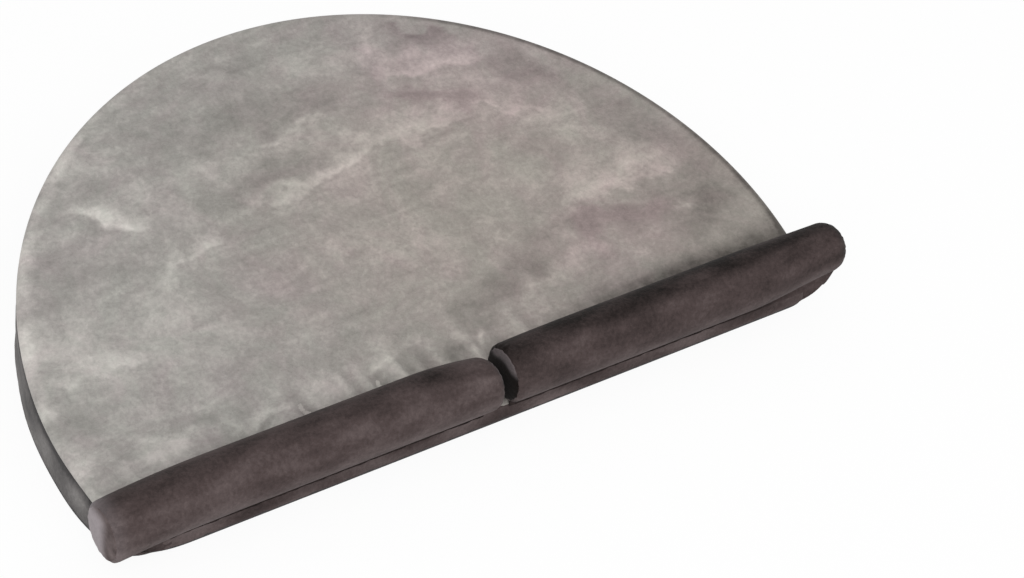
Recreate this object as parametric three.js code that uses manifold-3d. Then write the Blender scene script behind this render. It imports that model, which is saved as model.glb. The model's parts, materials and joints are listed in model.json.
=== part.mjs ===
// A lap desk: a half-moon wedge cushion with two bolster rolls along its straight front.
// The rolls stop a device from sliding down, and the slot between them lets a cable through.
// Millimetres, +Z up. The origin lies on the underside, at the centre of the round outline.
// +X runs along the rolls to the right, and +Y runs to the round back.
import * as THREE from "three";
import { mergeVertices } from "three/addons/utils/BufferGeometryUtils.js";
import Module from "manifold-3d";

const wasm = await Module();
wasm.setup();

// Cushion
const outlineRadius = 194.5; // round outline, on the outer face of the wall
const frontDistance = 49.5; // from the centre of the round outline to the front face
const cornerRadius = 14; // front corners, in plan
const frontHeight = 11.5; // top surface at the front face
const wedgeAngle = 12; // degrees that the top rises towards the back
const topCrown = 3; // swell of the top panel over its edge
const rimRadius = 3; // rounding of the top panel's rim
const rimTuckBack = -40; // degrees at which the rim meets the seam round the curve, under its widest line
const rimTuckFront = 30; // degrees at which the rim meets the seam under the rolls
const bottomDraw = 0.7; // how far the wall draws in at the bottom seam
const fabric = 1.5; // padded fabric of panels, walls and roll covers
const clearance = 0.3; // between neighbours that are sewn or rest on each other

// Rolls
const rollSpan = 406; // over both rolls, tip to tip
const rollShift = -2; // middle of that span, to the right of the cushion's middle
const rollDiameter = 29;
const cableSlot = 4.6; // between the two inner tips
const slotShift = 5.5; // middle of the slot, to the right of the cushion's middle
const rollInset = 3.8; // roll axis behind the front face
const rollRounding = 4; // where a roll cover turns in to its end cap
const rollTurn = 60; // degrees that the cover turns in before the cap's seam
const capBulge = 2; // dome of an end cap over its seam
const tongueThickness = 0.8; // sewing tongue of a roll, in the front seam
const earRun = 27.5; // over which the strip's ends sweep up to the rolls

// Zip, round the back wall
const zipHeight = 27; // middle of the teeth above the underside
const zipTravel = 72; // degrees that the slider runs round the curve
const slotHeight = 10.6; // between the two hemmed edges of the wall
const tapeThickness = 0.8;
const tapeWidth = 12;
const tapeTail = 6; // tape past each end of the slot, behind the wall
const tapeParting = 1.2; // between the two tapes
const toothPitch = 3.2;
const toothWidth = 1.2;
const chainHeight = 5.2; // over both rows of teeth
const chainDepth = 1.5;
const spineHeight = 1; // solid edge of one row
const stopLength = 2.5;
const sliderLength = 9;
const sliderWall = 0.8;
const sliderPlate = 1;
const archLength = 6.4; // hoop on the slider that carries the pull
const archWidth = 1.6;
const archBar = 0.8;
const pullLength = 23; // from the pivot to the tip
const pullWidth = 5;
const pullThickness = 1.2;
const pullArm = 1.2; // frame round the eye of the pull
const pullPlay = 0.45; // round the hoop, so that the pull can flip over

// Steps of the faceted surfaces
const arcStep = THREE.MathUtils.degToRad(5);
const zipStep = THREE.MathUtils.degToRad(2.5);
const cornerSteps = 4;
const frontSteps = 8;
const wallSteps = 4;
const rollSides = 24;
const rollSteps = 3;
const domeSteps = 4;
const earSteps = 5;
const rimSteps = 4;
const crownScales = [1, 0.9, 0.75, 0.55, 0.3, 0]; // rings of the top, as shares of its outline
const foamScales = [1, 0.75, 0.4, 0];
const flatScales = [1, 0.5, 0];

const rad = THREE.MathUtils.degToRad;
const wedgeSlope = Math.tan(rad(wedgeAngle));
const rollRadius = rollDiameter / 2;

// Values from one limit to another in equal steps, both limits included.
function spread(from, to, steps) {
  return Array.from({ length: steps + 1 }, (_, i) => from + ((to - from) * i) / steps);
}

// The outline is a row of stations that runs round the cushion, against the clock seen from above.
// A station gives the plan position at a distance inside the outer face, and how the rim is tucked there.
const cornerY = cornerRadius - frontDistance;
const cornerX = Math.sqrt((outlineRadius - cornerRadius) ** 2 - cornerY ** 2);
const cornerEnd = Math.atan2(cornerY, cornerX); // direction in which a corner runs into the curve

function arcStation(angle) {
  const at = (inset) => [
    (outlineRadius - inset) * Math.cos(angle),
    (outlineRadius - inset) * Math.sin(angle),
  ];
  return { at, tuck: rad(rimTuckBack) };
}

function cornerStation(side, angle) {
  const at = (inset) => [
    side * (cornerX + (cornerRadius - inset) * Math.cos(angle)),
    cornerY + (cornerRadius - inset) * Math.sin(angle),
  ];
  const share = (angle + Math.PI / 2) / (cornerEnd + Math.PI / 2);
  return { at, tuck: rad(THREE.MathUtils.lerp(rimTuckFront, rimTuckBack, share)) };
}

function frontStation(x) {
  return { at: (inset) => [x, inset - frontDistance], tuck: rad(rimTuckFront) };
}

function arc(from, to, step = arcStep) {
  return spread(from, to, Math.ceil((to - from) / step)).map(arcStation);
}

const rightCorner = spread(-Math.PI / 2, cornerEnd, cornerSteps).map((a) => cornerStation(1, a));
const leftCorner = spread(cornerEnd, -Math.PI / 2, cornerSteps).map((a) => cornerStation(-1, a));
const frontLine = spread(-cornerX, cornerX, frontSteps).map(frontStation);
const outline = [
  ...rightCorner,
  ...arc(cornerEnd, Math.PI - cornerEnd).slice(1),
  ...leftCorner.slice(1),
  ...frontLine.slice(1, -1),
];

// Heights of the cover at a plan position
const topPlane = (y) => frontHeight + (y + frontDistance) * wedgeSlope;
const rimInset = (turn) => rimRadius * (1 - Math.cos(turn));
const rimDrop = (turn) => rimRadius * (1 - Math.sin(turn));
const crown = (share) => topCrown * (1 - share ** 2) ** 2;
const wallBottom = fabric + clearance;

// The wall's top edge lies along the rim's lower edge, so it is mitred through the fabric.
function wallTop(station, depth = 0) {
  const [, y] = station.at(rimInset(station.tuck));
  return topPlane(y) - rimDrop(station.tuck) - clearance - depth * Math.sin(station.tuck);
}

// The wall bows out between its seams and draws in at both of them.
function wallInset(station, z) {
  const share = THREE.MathUtils.clamp((z - wallBottom) / (wallTop(station) - wallBottom), 0, 1);
  const draw = THREE.MathUtils.lerp(bottomDraw, rimInset(station.tuck), share);
  return draw * (2 * share - 1) ** 4;
}

// A closed solid between an outer and an inner grid of points. A grid is a list of columns along the
// outline, each a list of points upwards or inwards. A closed one runs right round.
function shell(outer, inner, closed) {
  const columns = outer.length;
  const rows = outer[0].length;
  const index = [];
  const point = (side, column, row) => (side * columns + (column % columns)) * rows + row;
  const quad = (a, b, c, d) => index.push(a, b, c, a, c, d);
  const spans = closed ? columns : columns - 1;
  for (let c = 0; c < spans; c++) {
    for (let r = 0; r < rows - 1; r++) {
      quad(point(0, c, r), point(0, c + 1, r), point(0, c + 1, r + 1), point(0, c, r + 1));
      quad(point(1, c, r), point(1, c, r + 1), point(1, c + 1, r + 1), point(1, c + 1, r));
    }
    const last = rows - 1;
    quad(point(1, c, 0), point(1, c + 1, 0), point(0, c + 1, 0), point(0, c, 0));
    quad(point(0, c, last), point(0, c + 1, last), point(1, c + 1, last), point(1, c, last));
  }
  for (let r = 0; r < rows - 1 && !closed; r++) {
    const end = columns - 1;
    quad(point(1, 0, r), point(0, 0, r), point(0, 0, r + 1), point(1, 0, r + 1));
    quad(point(0, end, r), point(1, end, r), point(1, end, r + 1), point(0, end, r + 1));
  }
  const positions = new Float32Array([outer, inner].flat(3));
  const loose = new THREE.BufferGeometry();
  loose.setAttribute("position", new THREE.BufferAttribute(positions, 3));
  loose.setIndex(index);
  return tidy(loose);
}

// Shared corners become one point, and triangles that have shrunk to a line go.
function tidy(geometry) {
  geometry.deleteAttribute("normal");
  geometry.deleteAttribute("uv");
  const merged = mergeVertices(geometry, 1e-4);
  const corners = merged.index.array;
  const kept = [];
  for (let i = 0; i < corners.length; i += 3) {
    const [a, b, c] = corners.slice(i, i + 3);
    if (a !== b && b !== c && c !== a) kept.push(a, b, c);
  }
  merged.setIndex(kept);
  merged.computeVertexNormals();
  return merged;
}

function solid(geometry) {
  const merged = tidy(geometry);
  const vertProperties = merged.attributes.position.array;
  const triVerts = new Uint32Array(merged.index.array);
  return new wasm.Manifold(new wasm.Mesh({ numProp: 3, vertProperties, triVerts }));
}

// Several overlapping geometries joined to one closed body.
function joined(...geometries) {
  const whole = geometries.map(solid).reduce((sum, next) => sum.add(next));
  const { vertProperties, triVerts } = whole.getMesh();
  const geometry = new THREE.BufferGeometry();
  geometry.setAttribute("position", new THREE.BufferAttribute(vertProperties, 3));
  geometry.setIndex(new THREE.BufferAttribute(triVerts, 1));
  geometry.computeVertexNormals();
  return geometry;
}

const middleY = (outlineRadius - frontDistance) / 2;

// Rings that shrink from an inset outline to the middle, at a height given by place and share.
function disc(inset, scales, height) {
  return outline.map((station) =>
    scales.map((share) => {
      const [x, y] = station.at(inset);
      const across = x * share;
      const along = middleY + (y - middleY) * share;
      return [across, along, height(along, share)];
    }),
  );
}

// The top panel: a rim rounded down to the seam, then a crown over the sloping top.
function topPanelFace(depth) {
  const crowned = disc(rimRadius, crownScales, (y, share) => topPlane(y) + crown(share) - depth);
  return outline.map((station, column) => {
    const rim = spread(station.tuck, Math.PI / 2, rimSteps).map((turn) => {
      const inset = rimInset(turn) + depth * Math.cos(turn);
      const [x, y] = station.at(inset);
      return [x, y, topPlane(y) - rimDrop(turn) - depth * Math.sin(turn)];
    });
    return [...rim, ...crowned[column].slice(1)];
  });
}

function topPanel() {
  return shell(topPanelFace(0), topPanelFace(fabric), true);
}

function bottomPanel() {
  const upper = disc(bottomDraw, flatScales, () => fabric);
  const lower = disc(bottomDraw + fabric / 2, flatScales, () => 0);
  return shell(upper, lower, true);
}

const foamInset = fabric + tapeThickness + 2 * clearance;

function foamWedge() {
  const depth = fabric + clearance;
  const upper = disc(foamInset, foamScales, (y, share) => topPlane(y) + crown(share) - depth);
  const lower = disc(foamInset, foamScales, () => wallBottom);
  return shell(upper, lower, true);
}

// A stretch of the wall, between two heights that may follow the station and the depth.
function wall(stations, low, high) {
  const face = (depth) =>
    stations.map((station) =>
      spread(low(station, depth), high(station, depth), wallSteps).map((z) => [
        ...station.at(wallInset(station, z) + depth),
        z,
      ]),
    );
  return shell(face(0), face(fabric), false);
}

// The zip lies on the curve, so its pieces are set out by angle. Lengths along it are on the outer face.
const angleOf = (length) => length / outlineRadius;
const zipStart = Math.PI / 2 - rad(zipTravel) / 2; // slider at rest, zip closed
const zipEnd = Math.PI / 2 + rad(zipTravel) / 2;
const chainTail = angleOf(sliderLength / 2 + clearance);
const chainFrom = zipStart - chainTail;
const chainTo = zipEnd + chainTail;
const stopSpan = angleOf(stopLength);
const gapSpan = angleOf(clearance);
const slotFrom = chainFrom - stopSpan - 2 * gapSpan;
const slotTo = chainTo + stopSpan + 2 * gapSpan;
const slotTop = () => zipHeight + slotHeight / 2;
const slotBottom = () => zipHeight - slotHeight / 2;
const bottomEdge = () => wallBottom;

// A bar that follows the curve, between two insets and two heights.
function curvedBar(from, to, outerInset, innerInset, low, high) {
  const stations = arc(from, to, zipStep);
  const face = (inset) => stations.map((station) => [low, high].map((z) => [...station.at(inset), z]));
  return shell(face(outerInset), face(innerInset), false);
}

const tapeInset = fabric + clearance;

function zipTape(side) {
  const tail = angleOf(tapeTail);
  const edges = [tapeParting / 2, tapeParting / 2 + tapeWidth].map((z) => zipHeight + side * z);
  const [low, high] = edges.sort((a, b) => a - b);
  return curvedBar(slotFrom - tail, slotTo + tail, tapeInset, tapeInset + tapeThickness, low, high);
}

const chainInset = tapeInset - clearance - chainDepth;

// One row: a spine along the curve and teeth that reach between the teeth of the other row.
function zipTeeth(side) {
  const spineMiddle = (chainHeight - spineHeight) / 2;
  const low = zipHeight + side * spineMiddle - spineHeight / 2;
  const spine = curvedBar(chainFrom, chainTo, chainInset, chainInset + chainDepth, low, low + spineHeight);
  const toothRoot = spineMiddle;
  const toothTip = chainHeight / 2 - spineHeight - clearance;
  const length = toothRoot + toothTip;
  const pitch = angleOf(toothPitch);
  const first = chainFrom + pitch * (side > 0 ? 0.5 : 1);
  const count = Math.floor((chainTo - first) / pitch);
  const radius = outlineRadius - chainInset - chainDepth / 2;
  const teeth = Array.from({ length: count }, (_, i) => {
    const tooth = new THREE.BoxGeometry(toothWidth, chainDepth, length);
    tooth.translate(0, radius, zipHeight + (side * (toothRoot - toothTip)) / 2);
    return tooth.rotateZ(first + pitch * i - Math.PI / 2);
  });
  return joined(spine, ...teeth);
}

function zipStop(from, low, high) {
  return curvedBar(from, from + stopSpan, chainInset, chainInset + chainDepth, low, high);
}

// Closed outlines for extruded pieces
function polygon(points) {
  return new THREE.Shape(points.map(([x, y]) => new THREE.Vector2(x, y)));
}

function extruded(shape, depth) {
  const geometry = new THREE.ExtrudeGeometry(shape, { depth, bevelEnabled: false, curveSegments: 8 });
  return geometry.translate(0, 0, -depth / 2);
}

// The slider in its own place: x along the zip to the closed end, y outwards, z up.
// It grips the rows from outside with a plate and two cheeks, and its hoop carries the pull.
const plateBack = clearance - chainInset;
const plateFront = plateBack + sliderPlate;
const eyeRadius = Math.hypot(pullThickness, pullThickness) / 2;
const pivotOut = plateFront + clearance + eyeRadius;
const archInside = pivotOut + eyeRadius + clearance;

function zipSlider() {
  const inside = chainHeight / 2 + clearance;
  const outside = inside + sliderWall;
  const cheekBack = -chainInset - chainDepth;
  const section = polygon([
    [-outside, cheekBack],
    [-inside, cheekBack],
    [-inside, plateBack],
    [inside, plateBack],
    [inside, cheekBack],
    [outside, cheekBack],
    [outside, plateFront],
    [-outside, plateFront],
  ]);
  const grip = extruded(section, sliderLength).rotateY(Math.PI / 2);
  const half = archLength / 2;
  const root = plateFront - sliderPlate / 2;
  const hoop = polygon([
    [-half, root],
    [-half + archBar, root],
    [-half + archBar, archInside],
    [half - archBar, archInside],
    [half - archBar, root],
    [half, root],
    [half, archInside],
    [half - archBar, archInside + archBar],
    [-half + archBar, archInside + archBar],
    [-half, archInside],
  ]);
  return joined(grip, extruded(hoop, archWidth));
}

// The pull round its pivot: a flat tab with a round tip and an eye that takes the hoop.
function zipPull() {
  const half = pullWidth / 2;
  const back = -pullThickness / 2;
  const tab = new THREE.Shape();
  tab.moveTo(back, -half);
  tab.lineTo(pullLength - half, -half);
  tab.absarc(pullLength - half, 0, half, -Math.PI / 2, Math.PI / 2);
  tab.lineTo(back, half);
  tab.closePath();
  const eyeHalf = half - pullArm;
  const eyeEnd = archLength / 2 + pullPlay;
  const eye = new THREE.Path();
  eye.moveTo(-back, -eyeHalf);
  eye.lineTo(-back, eyeHalf);
  eye.lineTo(eyeEnd, eyeHalf);
  eye.lineTo(eyeEnd, -eyeHalf);
  eye.closePath();
  tab.holes.push(eye);
  return extruded(tab, pullThickness).rotateX(Math.PI / 2);
}

// The rolls, as profiles of distance from their own middle and radius, turned round their axis.
const outerTip = (side) => rollShift + (side * rollSpan) / 2;
const innerTip = (side) => slotShift + (side * cableSlot) / 2;
const rollHalf = (side) => (side * (outerTip(side) - innerTip(side))) / 2;
const rollMiddle = (side) => (outerTip(side) + innerTip(side)) / 2;
const rollY = rollInset - frontDistance;
const rollZ = topPlane(rollY) + (rollRadius + clearance) / Math.cos(rad(wedgeAngle));
const seamPlace = (side) => rollHalf(side) - capBulge - clearance;
const turnCentre = (side) => seamPlace(side) - rollRounding * Math.sin(rad(rollTurn));
const seamRadius = rollRadius - rollRounding * (1 - Math.cos(rad(rollTurn)));

// The rounded shoulder of a cover, at a depth inside its outer face.
function shoulder(side, depth) {
  const round = rollRounding - depth;
  return spread(0, rad(rollTurn), rollSteps).map((turn) => [
    turnCentre(side) + round * Math.sin(turn),
    rollRadius - rollRounding + round * Math.cos(turn),
  ]);
}

// The dome of a cap from its seam to its tip, at a depth inside its outer face.
function dome(depth, seam) {
  return spread(Math.PI / 2, 0, domeSteps).map((turn) => [
    seam + (capBulge - depth) * Math.cos(turn),
    (seamRadius - depth) * Math.sin(turn),
  ]);
}

const mirrored = (profile) => profile.map(([along, radius]) => [-along, radius]).reverse();

// Turns a profile round the roll's axis. The list runs so that the outside lies on its right.
function turned(profile) {
  const points = profile.map(([along, radius]) => new THREE.Vector2(Math.max(radius, 0), along));
  return new THREE.LatheGeometry(points, rollSides).rotateZ(-Math.PI / 2);
}

function atRoll(geometry, side) {
  return geometry.translate(rollMiddle(side), rollY, rollZ);
}

// A roll hangs on a sewing tongue in the front seam. Past the cushion's corner the tongue and the front
// strip run on as an ear, and the ear's lower edge is a quarter of an ellipse from the strip's bottom up
// to the roll's shoulder.
const tongueInset = rimInset(rad(rimTuckFront)) - clearance - tongueThickness / 2;
const [, tongueY] = frontStation(0).at(tongueInset);
const tongueLow = topPlane(-frontDistance) - rimDrop(rad(rimTuckFront));
const tongueHigh = rollZ - Math.sqrt((rollRadius - fabric / 2) ** 2 - (tongueY - rollY) ** 2);
const earRise = tongueHigh - wallBottom;
const earEnd = (side) => side * rollMiddle(side) + turnCentre(side); // distance from the middle
const earTurn = (z) => Math.acos(1 - (z - wallBottom) / earRise);
const earReach = (side, turn) => earEnd(side) - earRun * (1 - Math.sin(turn));
const earHeight = (turn) => wallBottom + earRise * (1 - Math.cos(turn));

function tongue(side) {
  const from = side * rollMiddle(side) - turnCentre(side);
  const sweep = spread(earTurn(tongueLow), Math.PI / 2, earSteps);
  const edge = sweep.map((turn) => [side * earReach(side, turn), earHeight(turn)]);
  const shape = polygon([[side * from, tongueLow], ...edge, [side * from, tongueHigh]]);
  return extruded(shape, tongueThickness).rotateX(Math.PI / 2).translate(0, tongueY, 0);
}

// The strip's ear, as stations from the corner outwards. It stays under the rim, up to where the rim has
// turned away behind it. A roll that ends before the corner has no ear.
const rimAway = Math.acos(1 - (fabric + clearance) / cornerRadius) - Math.PI / 2;
const earTop = () => wallTop(cornerStation(1, rimAway), fabric);

function stripEar(side) {
  const tip = earReach(side, earTurn(earTop() - fabric));
  if (tip <= cornerX) return [];
  const places = spread(cornerX, tip, earSteps).map((x) => side * x);
  const stations = places.sort((a, b) => a - b).map(frontStation);
  const edge = (station) => {
    const [x] = station.at(0);
    const share = Math.max(0, 1 - (earEnd(side) - side * x) / earRun);
    return earHeight(Math.asin(share));
  };
  return [wall(stations, edge, earTop)];
}

// A roll cover: an open tube with rounded shoulders and the tongue.
function rollCover(side) {
  const outside = [...mirrored(shoulder(side, 0)), ...shoulder(side, 0)];
  const inside = [...mirrored(shoulder(side, fabric)), ...shoulder(side, fabric)].reverse();
  const tube = atRoll(turned([...outside, ...inside, outside[0]]), side);
  return joined(tube, tongue(side));
}

function rollFoam(side) {
  const depth = fabric + clearance;
  const half = [...shoulder(side, depth), ...dome(depth, seamPlace(side))];
  return atRoll(turned([...mirrored(half), ...half]), side);
}

// An end cap: a domed disc at one end of a roll.
function rollCap(side, end) {
  const seam = seamPlace(side) + clearance;
  const profile = [...dome(fabric, seam).reverse(), ...dome(0, seam)];
  const cap = turned(end > 0 ? profile : mirrored(profile));
  return atRoll(cap, side);
}

// Finishes
const finish = (color, roughness, metalness = 0) =>
  new THREE.MeshStandardMaterial({ color, roughness, metalness });
const paleVelvet = finish("#a0978f", 0.85);
const darkVelvet = finish("#4b4241", 0.85);
const greyWall = finish("#696766", 0.85);
const underside = finish("#4a4848", 0.9);
const foam = finish("#e6ddc4", 0.95);
const zipCloth = finish("#3f3d3d", 0.9);
const zipPlastic = finish("#4a4747", 0.5);
const zipMetal = finish("#8c8a87", 0.35, 1);

const lapDesk = new THREE.Group();

function add(name, geometry, material, parent = lapDesk) {
  const mesh = new THREE.Mesh(geometry, material);
  mesh.name = name;
  parent.add(mesh);
  return mesh;
}

// Cushion
add("foam_wedge", foamWedge(), foam);
add("top_panel", topPanel(), paleVelvet);
add("bottom_panel", bottomPanel(), underside);
const cornerGap = angleOf(clearance);
const rightCurve = arc(cornerEnd + cornerGap, slotFrom - gapSpan);
const leftCurve = arc(slotTo + gapSpan, Math.PI - cornerEnd - cornerGap);
const frontRun = [...leftCorner, ...frontLine.slice(1, -1), ...rightCorner];
const frontStrip = joined(wall(frontRun, bottomEdge, wallTop), ...stripEar(-1), ...stripEar(1));
add("front_strip", frontStrip, darkVelvet);
add("right_side_band", wall(rightCurve, bottomEdge, wallTop), greyWall);
add("left_side_band", wall(leftCurve, bottomEdge, wallTop), greyWall);
add("back_upper_band", wall(arc(slotFrom, slotTo), slotTop, wallTop), greyWall);
add("back_lower_band", wall(arc(slotFrom, slotTo), bottomEdge, slotBottom), greyWall);

// Rolls
for (const [hand, side] of [["left", -1], ["right", 1]]) {
  add(`${hand}_roll_cover`, rollCover(side), darkVelvet);
  add(`${hand}_roll_foam`, rollFoam(side), foam);
  add(`${hand}_roll_outer_cap`, rollCap(side, side), darkVelvet);
  add(`${hand}_roll_inner_cap`, rollCap(side, -side), darkVelvet);
}

// Zip
add("zip_upper_tape", zipTape(1), zipCloth);
add("zip_lower_tape", zipTape(-1), zipCloth);
add("zip_upper_teeth", zipTeeth(1), zipPlastic);
add("zip_lower_teeth", zipTeeth(-1), zipPlastic);
const stopFrom = chainFrom - gapSpan - stopSpan;
const rowGap = clearance / 2;
const rowTop = chainHeight / 2;
add("zip_top_stop_upper", zipStop(stopFrom, zipHeight + rowGap, zipHeight + rowTop), zipMetal);
add("zip_top_stop_lower", zipStop(stopFrom, zipHeight - rowTop, zipHeight - rowGap), zipMetal);
add("zip_bottom_stop", zipStop(chainTo + gapSpan, zipHeight - rowTop, zipHeight + rowTop), zipMetal);

const runner = new THREE.Group();
runner.rotation.z = zipStart - Math.PI / 2;
lapDesk.add(runner);
add("zip_slider", zipSlider(), zipMetal, runner).position.set(0, outlineRadius, zipHeight);
add("zip_pull", zipPull(), zipMetal, runner).position.set(0, outlineRadius + pivotOut, zipHeight);

export default lapDesk;
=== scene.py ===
"""A lap desk: a half-moon wedge cushion with two bolster rolls along its straight front.

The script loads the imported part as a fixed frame, dresses every piece of it and sets a plain studio
stage. Lengths are in metres in the part's own frame: the origin lies on the underside at the centre of
the round outline, +X runs along the rolls to the right, +Y to the round back and +Z up.
"""

import functools
import json
import math
from typing import NamedTuple

import bmesh
import bpy
import numpy as np
from bpy.props import FloatProperty, FloatVectorProperty, PointerProperty
from mathutils import Matrix, Vector


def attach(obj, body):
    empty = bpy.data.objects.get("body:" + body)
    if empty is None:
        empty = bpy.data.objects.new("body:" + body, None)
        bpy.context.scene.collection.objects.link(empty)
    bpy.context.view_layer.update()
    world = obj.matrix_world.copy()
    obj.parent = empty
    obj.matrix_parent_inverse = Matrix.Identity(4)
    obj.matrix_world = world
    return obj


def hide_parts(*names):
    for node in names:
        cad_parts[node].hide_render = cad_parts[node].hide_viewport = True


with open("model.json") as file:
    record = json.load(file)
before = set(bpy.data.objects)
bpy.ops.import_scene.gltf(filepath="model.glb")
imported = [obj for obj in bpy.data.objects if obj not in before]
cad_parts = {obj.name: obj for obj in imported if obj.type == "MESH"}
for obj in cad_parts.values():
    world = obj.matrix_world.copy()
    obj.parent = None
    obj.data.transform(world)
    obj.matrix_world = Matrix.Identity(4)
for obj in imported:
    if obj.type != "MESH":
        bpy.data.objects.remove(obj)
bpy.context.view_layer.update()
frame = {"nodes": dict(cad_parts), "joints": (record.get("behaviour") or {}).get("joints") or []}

bl_info = {
    "name": "Lap Desk",
    "version": (1, 0, 0),
    "blender": (4, 5, 0),
    "location": "3D View > Sidebar > Lap Desk",
    "description": "Velvet, rolls, zip and stage of a half-moon lap desk",
    "category": "Add Mesh",
}

MM = 0.001
TURN = 2 * math.pi
SLIDER_RUN = next(joint for joint in frame["joints"] if joint["name"] == "zip_slider_run")


def size(name, description, default):
    """A length that a user may change."""
    return FloatProperty(
        name=name, description=description, default=default, unit="LENGTH", subtype="DISTANCE", precision=4
    )


def turn(name, description, degrees):
    """An angle that a user may change."""
    return FloatProperty(
        name=name, description=description, default=math.radians(degrees), unit="ROTATION", subtype="ANGLE"
    )


def number(name, description, default):
    """A plain factor that a user may change."""
    return FloatProperty(name=name, description=description, default=default, subtype="FACTOR")


def paint(name, description, red, green, blue):
    """A colour that a user may change, given as the 0 to 255 values that a screen shows."""
    shown = np.array([red, green, blue]) / 255
    linear = np.where(shown <= 0.04045, shown / 12.92, ((shown + 0.055) / 1.055) ** 2.4)
    return FloatVectorProperty(
        name=name, description=description, default=linear.tolist(), subtype="COLOR", min=0, max=1, size=3
    )


class CushionSizes(bpy.types.PropertyGroup):
    """Sizes of the wedge cushion"""

    outline_radius: size("Outline radius", "Round outline, on the outer face of the wall", 0.1945)
    front_distance: size("Front distance", "From the centre of the outline to the front face", 0.0495)
    corner_radius: size("Corner radius", "Front corners, in plan", 0.014)
    front_height: size("Front height", "Top surface at the front face", 0.0115)
    wedge_angle: turn("Wedge angle", "Rise of the top towards the back", 12)
    crown: size("Crown", "Swell of the top panel before it is blown up", 0.0015)
    rim_radius: size("Rim radius", "Rounding of the top panel's rim", 0.003)
    tuck_back: turn("Back tuck", "Where the rim meets its seam round the curve", -40)
    tuck_front: turn("Front tuck", "Where the rim meets its seam under the rolls", 30)
    bottom_draw: size("Bottom draw", "How far the wall draws in at its bottom seam", 0.0007)
    flare: size("Flare", "How far the wall stands out at the bottom of its left front corner", 0.0022)
    fabric: size("Fabric", "Thickness of the padded fabric", 0.0015)
    foam_inset: size("Foam inset", "Foam core behind the outer face", 0.0031)
    pressure: number("Pressure", "Pressure of the filling in the cloth simulation", 4)
    top_swell: size("Top swell", "The most that the top panel may swell", 0.0022)
    voxel: size("Voxel", "Size of the simulated cloth's faces", 0.005)
    gather: size("Gather", "Depth of the puckers along the front seam", 0.0014)


class RollSizes(bpy.types.PropertyGroup):
    """Sizes of the two bolster rolls"""

    span: size("Span", "Over both rolls, tip to tip", 0.405)
    shift: size("Shift", "Middle of the span beside the middle of the cushion", -0.001)
    slot: size("Cable slot", "Between the two inner tips", 0.0034)
    slot_shift: size("Slot shift", "Middle of the slot beside the middle of the cushion", 0.0036)
    diameter: size("Diameter", "Diameter of a roll", 0.029)
    inset: size("Inset", "Roll axis behind the front face", 0.0038)
    left_rounding: size("Left rounding", "Turn of the left cover in to its outer cap", 0.0032)
    right_rounding: size("Right rounding", "Turn of the right cover in to its outer cap", 0.0085)
    left_slot_rounding: size("Left slot rounding", "Turn of the left cover in to its inner cap", 0.006)
    right_slot_rounding: size("Right slot rounding", "Turn of the right cover in to its inner cap", 0.003)
    shoulder: turn("Shoulder", "How far a cover turns in before the cap's seam", 60)
    outer_bulge: size("Outer bulge", "Dome of an outer cap over its seam", 0.001)
    inner_bulge: size("Inner bulge", "Dome of an inner cap over its seam", 0.0016)
    left_ear_run: size("Left ear run", "Length of the front cloth's curve under the left end", 0.038)
    left_ear_inset: size("Left ear inset", "From the left shoulder to the end of that curve", 0.0075)
    right_ear_run: size("Right ear run", "Length of the front cloth's curve under the right end", 0.0275)
    right_ear_inset: size("Right ear inset", "From the right shoulder to the end of that curve", -0.006)
    droop: size("Droop", "How far the left roll hangs at its outer end", 0.0038)
    droop_run: size("Droop run", "Length of the hanging end", 0.056)
    left_slot_taper: number("Left slot taper", "How much the left roll thins towards the slot", 0.13)
    right_slot_taper: number("Right slot taper", "How much the right roll thins towards the slot", 0.02)
    slot_taper_run: size("Slot taper run", "Length of the ends that thin towards the slot", 0.04)
    taper: number("Taper", "How much the right roll thins towards its outer end", 0.16)
    taper_run: size("Taper run", "Length of the thinning end", 0.06)
    swell: size("Swell", "The most that a roll may swell", 0.0006)
    voxel: size("Voxel", "Size of the simulated cloth's faces", 0.004)
    clearance: size("Clearance", "Between a roll and the top panel", 0.0003)


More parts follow.
